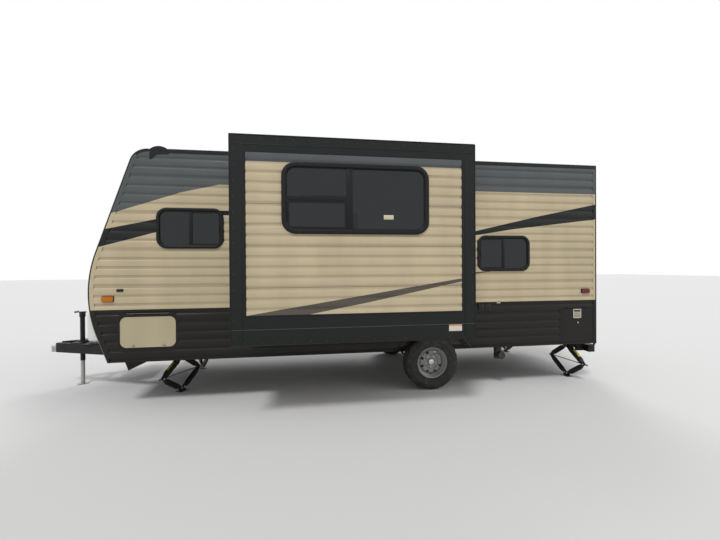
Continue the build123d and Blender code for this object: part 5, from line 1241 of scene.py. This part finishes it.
def dress_roof():
    """Sealant, lids, screws and cooling fins on the roof."""
    with (
        new_piece("roof_vent_screws", "bright_steel", "zinc") as heads,
        new_piece("roof_vent_ridges", "white_plastic") as tops,
        new_piece("roof_sealant", "roof_membrane", "sealant") as bm,
    ):
        for x in (1.25, 4.7, 5.7):
            outline = rounded_outline(x - 0.236, x + 0.236, -0.236, 0.236, 0.03)
            stations = [(place(px, py, ROOF_Z), Vector((nx, ny, 0)), UP) for px, py, nx, ny in outline]
            sweep(bm, stations, VENT_SEALANT, closed=True)
            for offset in (-0.115, 0.0, 0.115):
                low = place(x - 0.15, offset - 0.018, ROOF_Z + 0.066)
                high = place(x + 0.15, offset + 0.018, ROOF_Z + 0.079)
                box(tops, low, high, 0.005)
            spots = [(a * 0.204, b * 0.1) for a in (-1, 1) for b in (-1.8, -0.6, 0.6, 1.8)]
            spots += [(b, a) for a, b in spots]
            screws(heads, [place(x + a, b, ROOF_Z + 0.008) for a, b in spots], UP, 0.005, 0.0025)
        for x, y in ((4.35, 0.7), (5.25, -0.7)):
            lathe(bm, PIPE_SEALANT, place(x, y, ROOF_Z), UP, 28)
        for x0, x1 in ((0.855, 0.893), (BODY_END - 0.07, BODY_END - 0.032)):
            box(bm, place(x0, -1.17, ROOF_Z - 0.001), place(x1, 1.17, ROOF_Z + 0.007), 0.003)

    low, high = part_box("roof_air_conditioner")
    middle_x, middle_y = (low.x + high.x) / 2 - NOSE_X, (low.y + high.y) / 2 - MID_Y
    with new_piece("air_conditioner_fins", "aluminium", "fins") as bm:
        for side in (-1, 1):
            y0, y1 = sorted((side * 0.279 + middle_y, side * 0.286 + middle_y))
            start = place(middle_x + 0.055, y0, ROOF_Z + 0.085)
            finish = place(middle_x + 0.385, y1, ROOF_Z + 0.24)
            box(bm, start, finish, 0.001)
    with new_piece("air_conditioner_screws", "bright_steel", "zinc") as bm:
        spots = [place(middle_x + a * 0.4, b * 0.27, high.z - 0.0035) for a in (-1, 1) for b in (-1, 1)]
        screws(bm, spots, UP, 0.008, 0.0035, 12)


# The rolled awning's radius, its flap's section as up and out, and its end cap as radius and out
AWNING_RADIUS = 0.055
AWNING_FLAP = ((0, 0), (0.003, 0.001), (-0.008, 0.04), (-0.012, 0.052), (-0.016, 0.05), (-0.01, 0.03))
AWNING_CAP = ((0.054, -0.002), (0.052, 0.004), (0.03, 0.006), (0.028, 0.003), (0.012, 0.003), (0.01, 0.008))


def dress_awning():
    """Hanging rail, roll end caps, arm channels and brackets of the awning."""
    low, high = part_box("awning")
    x0, x1 = low.x - NOSE_X, high.x - NOSE_X
    centre_out = high.y - MID_Y - AWNING_RADIUS - HALF
    z = high.z - AWNING_RADIUS
    with new_piece("awning_rail_and_flap", "awning_guard") as bm:
        wall_box(bm, 1, x0 + 0.03, x1 - 0.03, z + 0.062, z + 0.08, -0.003, 0.012, 0.003)
        stations = [(on_wall(1, x, 0.006, z + 0.064), UP, outward(1)) for x in (x0 + 0.075, x1 - 0.075)]
        sweep(bm, stations, AWNING_FLAP)
    with new_piece("awning_caps_and_brackets", "black_plastic") as bm:
        for x, way in ((x0, -1), (x1, 1)):
            lathe(bm, AWNING_CAP, on_wall(1, x, centre_out, z), Vector((way, 0, 0)), 32)
            arm = x - way * 0.03
            wall_box(bm, 1, arm - 0.02, arm + 0.02, 1.04, z - 0.06, 0.041, 0.046, 0.002)
            wall_box(bm, 1, arm - 0.036, arm + 0.036, 0.99, 1.06, -0.002, 0.045, 0.004)
            wall_box(bm, 1, arm - 0.036, arm + 0.036, 1.88, 1.93, -0.002, 0.046, 0.004)
            spots = [on_wall(1, arm, 0.046, level) for level in (1.01, 1.905, 2.3)]
            screws(bm, spots, outward(1), 0.009, 0.005, 6)


# Radius and height of a gas bottle's welded seam and of its valve's knob
BOTTLE_SEAM = ((0.1515, 0.226), (0.1535, 0.228), (0.1535, 0.238), (0.1515, 0.24))
VALVE_KNOB = ((0.02, 0.0), (0.0275, 0.002), (0.0275, 0.012), (0.02, 0.015))


def dress_tongue():
    """Bolts, knobs, straps and seams of what stands on the tongue."""
    low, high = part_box("gas_bottles")
    centre_x = (low.x + high.x) / 2 - NOSE_X
    floor = low.z
    shoulder = floor + 0.43
    with new_piece("gas_bottle_seams", "bottle_paint") as bm:
        for y in (-0.17, 0.17):
            lathe(bm, BOTTLE_SEAM, place(centre_x, y, floor), UP, 56)
    with new_piece("gas_valve_knobs", "black_plastic") as bm:
        for y in (-0.17, 0.17):
            lathe(bm, VALVE_KNOB, place(centre_x, y, shoulder + 0.048), UP, 12)
    with new_piece("bottle_wing_nut", "bright_steel", "zinc") as bm:
        top = place(centre_x, 0.0, shoulder + 0.012)
        lathe(bm, ((0.018, -0.002), (0.018, 0.002), (0.011, 0.003), (0.011, 0.016)), top, UP, 6)
        for way in (-1, 1):
            low, high = Vector((-0.003, way * 0.01, 0.004)), Vector((0.003, way * 0.038, 0.02))
            box(bm, top + low, top + high, 0.002)

    low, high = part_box("battery_box")
    with new_piece("battery_strap", "black_plastic", "foam") as bm:
        y = (low.y + high.y) / 2
        x0, x1, z0, z1 = low.x - 0.0015, high.x + 0.0015, low.z, high.z + 0.002
        for xa, za, xb, zb in (
            (x0 - 0.001, z0, x0 + 0.002, z1),
            (x1 - 0.002, z0, x1 + 0.001, z1),
            (x0, z1 - 0.002, x1, z1 + 0.001),
        ):
            box(bm, Vector((xa, y - 0.02, za)), Vector((xb, y + 0.02, zb)), 0.0006)

    low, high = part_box("coupler")
    with new_piece("coupler_bolts", "bright_steel", "zinc") as bm:
        for x in (low.x + 0.12, low.x + 0.155):
            for way in (-1, 1):
                spot = Vector((x, MID_Y + way * 0.0445, low.z + 0.038))
                lathe(bm, ((0.012, 0.0), (0.012, 0.008), (0.008, 0.011)), spot, Vector((0, way, 0)), 6)
        spot = Vector((low.x + 0.06, MID_Y, low.z + 0.083))
        lathe(bm, ((0.013, 0.0), (0.013, 0.01), (0.006, 0.012), (0.006, 0.026)), spot, UP, 6)


# The springs' distance from the centreline, and the U-bolts' bend
SPRING_OUT = 0.89
U_BOLT_BEND = 0.034


def dress_running_gear():
    """U-bolts and nuts that hold the springs to the axle."""
    low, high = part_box("road_tyre")
    axle_x = (low.x + high.x) / 2 - NOSE_X
    level = (low.z + high.z) / 2
    angles = [math.pi * step / 8 for step in range(9)]
    bend = [(U_BOLT_BEND * math.cos(angle), -U_BOLT_BEND * math.sin(angle)) for angle in angles]
    outline = [(U_BOLT_BEND, 0.085), *bend, (-U_BOLT_BEND, 0.085)]
    with new_piece("spring_u_bolts", "bright_steel", "zinc") as bm:
        for side in (-1, 1):
            for offset in (-0.033, 0.033):
                points = [place(axle_x + offset, side * SPRING_OUT + y, level + z) for y, z in outline]
                tube(bm, points, 0.0055, 8)
                for end in (points[0], points[-1]):
                    lathe(bm, ((0.011, -0.028), (0.011, -0.016), (0.008, -0.014)), end, UP, 6)


def soften(name, width, segments=2):
    """Round a CAD node's edges a little, so that they catch the light."""
    obj = nodes[name]
    weld = obj.modifiers.new("weld", "WELD")
    weld.merge_threshold = 0.00002
    bevel = obj.modifiers.new("soft_edges", "BEVEL")
    bevel.width = width
    bevel.segments = segments
    bevel.limit_method = "ANGLE"
    bevel.angle_limit = math.radians(35.0)
    normals = obj.modifiers.new("even_normals", "WEIGHTED_NORMAL")
    normals.keep_sharp = False


# Nodes with soft edges: width and segments of the rounding
SOFTENED = {
    "slide_fascia": (0.003, 2),
    "road_side_wall": (0.0016, 2), "kerb_side_wall": (0.0016, 2), "slide_face": (0.0016, 2),
    "front_wall": (0.0016, 2), "rear_wall": (0.0016, 2), "chassis_frame": (0.0025, 2), "coupler": (
        0.002, 2,
    ),
    "awning": (0.003, 2), "red_lamps": (0.004, 3), "amber_lamps": (0.004, 3), "battery_box": (0.003, 2),
    "road_baggage_door": (0.002, 2), "kerb_baggage_door": (0.002, 2), "access_door": (0.002, 2),
    "entry_door": (0.002, 2), "entry_step": (0.0015, 2), "trims_and_hinges": (0.0012, 2),
}


def soften_nodes():
    """Soft edges on the nodes that are seen close up."""
    for name, (width, segments) in SOFTENED.items():
        soften(name, width, segments)
    for name in nodes:
        if "stabiliser" in name or "_arm_" in name or name.endswith("_foot"):
            soften(name, 0.0008, 2)


def dress_nodes():
    """Every CAD node gets the material of its slot; screws and access door have their own."""
    slots = {part["node"]: part["material_slot"] for part in frame["record"]["subparts"]}
    for name, obj in nodes.items():
        obj.data.materials.clear()
        finish = EXTRA["thread"] if name.endswith("_screw") else MATERIALS[slots[name]]
        obj.data.materials.append(EXTRA["access_skin"] if name == "access_door" else finish)


def make_camera():
    """The camera of the photo."""
    data = bpy.data.cameras.new("photo_camera")
    data.lens = CAMERA_LENS
    data.sensor_width = 36.0
    data.clip_start, data.clip_end = 0.05, 200.0
    camera = bpy.data.objects.new("photo_camera", data)
    bpy.context.collection.objects.link(camera)
    right = Vector((math.cos(CAMERA_YAW), -math.sin(CAMERA_YAW), 0.0))
    ahead = Vector((math.sin(CAMERA_YAW), math.cos(CAMERA_YAW), 0.0))
    ahead, up = (
        ahead * math.cos(CAMERA_PITCH) - UP * math.sin(CAMERA_PITCH),
        UP * math.cos(CAMERA_PITCH) + ahead * math.sin(CAMERA_PITCH),
    )
    right, up = (
        right * math.cos(CAMERA_ROLL) + up * math.sin(CAMERA_ROLL),
        up * math.cos(CAMERA_ROLL) - right * math.sin(CAMERA_ROLL),
    )
    turn = Matrix((right, up, -ahead)).transposed()
    spot = Vector((NOSE_X + CAMERA_BACK, ROAD_Y - CAMERA_AWAY, CAMERA_HEIGHT))
    camera.matrix_world = Matrix.Translation(spot) @ turn.to_4x4()
    bpy.context.scene.camera = camera


def make_stage():
    """Pale floor, white surroundings for camera and reflections, and soft lamps."""
    mesh = bpy.data.meshes.new("floor")
    size = 60.0
    mesh.from_pydata(
        [(-size, -size, 0), (size, -size, 0), (size, size, 0), (-size, size, 0)], [], [(0, 1, 2, 3)]
    )
    floor = bpy.data.objects.new("floor", mesh)
    bpy.context.collection.objects.link(floor)
    floor.data.materials.append(Shader("pale_floor", (0.62, 0.62, 0.62), 0.9).material)

    world = bpy.data.worlds.new("studio")
    bpy.context.scene.world = world
    world.use_nodes = True
    tree = world.node_tree
    background = tree.nodes["Background"]
    background.inputs["Color"].default_value = (1.0, 1.0, 1.0, 1.0)
    path = tree.nodes.new("ShaderNodeLightPath")
    seen = path.outputs["Is Camera Ray"]
    for ray in ("Is Transmission Ray", "Is Glossy Ray"):
        more = tree.nodes.new("ShaderNodeMath")
        more.operation = "MAXIMUM"
        tree.links.new(seen, more.inputs[0])
        tree.links.new(path.outputs[ray], more.inputs[1])
        seen = more.outputs[0]
    strength = tree.nodes.new("ShaderNodeMapRange")
    strength.inputs["To Min"].default_value = 0.55
    strength.inputs["To Max"].default_value = 1.0
    tree.links.new(seen, strength.inputs["Value"])
    tree.links.new(strength.outputs[0], background.inputs["Strength"])

    # Lamps: name, turn about Z and height above the horizon in degrees, strength, softness
    for name, turn, height, power, soft in (
        ("key", -25.0, 52.0, 1.7, 12.0),
        ("fill", 60.0, 30.0, 0.5, 40.0),
        ("back", 165.0, 40.0, 0.9, 30.0),
    ):
        lamp = bpy.data.lights.new(name, "SUN")
        lamp.energy = power
        lamp.angle = math.radians(soft)
        obj = bpy.data.objects.new(name, lamp)
        bpy.context.collection.objects.link(obj)
        a, e = math.radians(turn), math.radians(height)
        source = Vector((math.sin(a) * math.cos(e), -math.cos(a) * math.cos(e), math.sin(e)))
        obj.rotation_mode = "QUATERNION"
        obj.rotation_quaternion = source.to_track_quat("Z", "Y")


make_camera()
make_stage()
dress_nodes()
soften_nodes()
make_window_frames()
dress_windows()
dress_slide_room()
dress_trims()
dress_wheel_arches()
dress_wheels()
dress_stabilisers()
dress_doors()
dress_covers()
dress_rear()
dress_roof()
dress_awning()
dress_tongue()
dress_running_gear()
bpy.context.scene.view_settings.view_transform = "Standard"
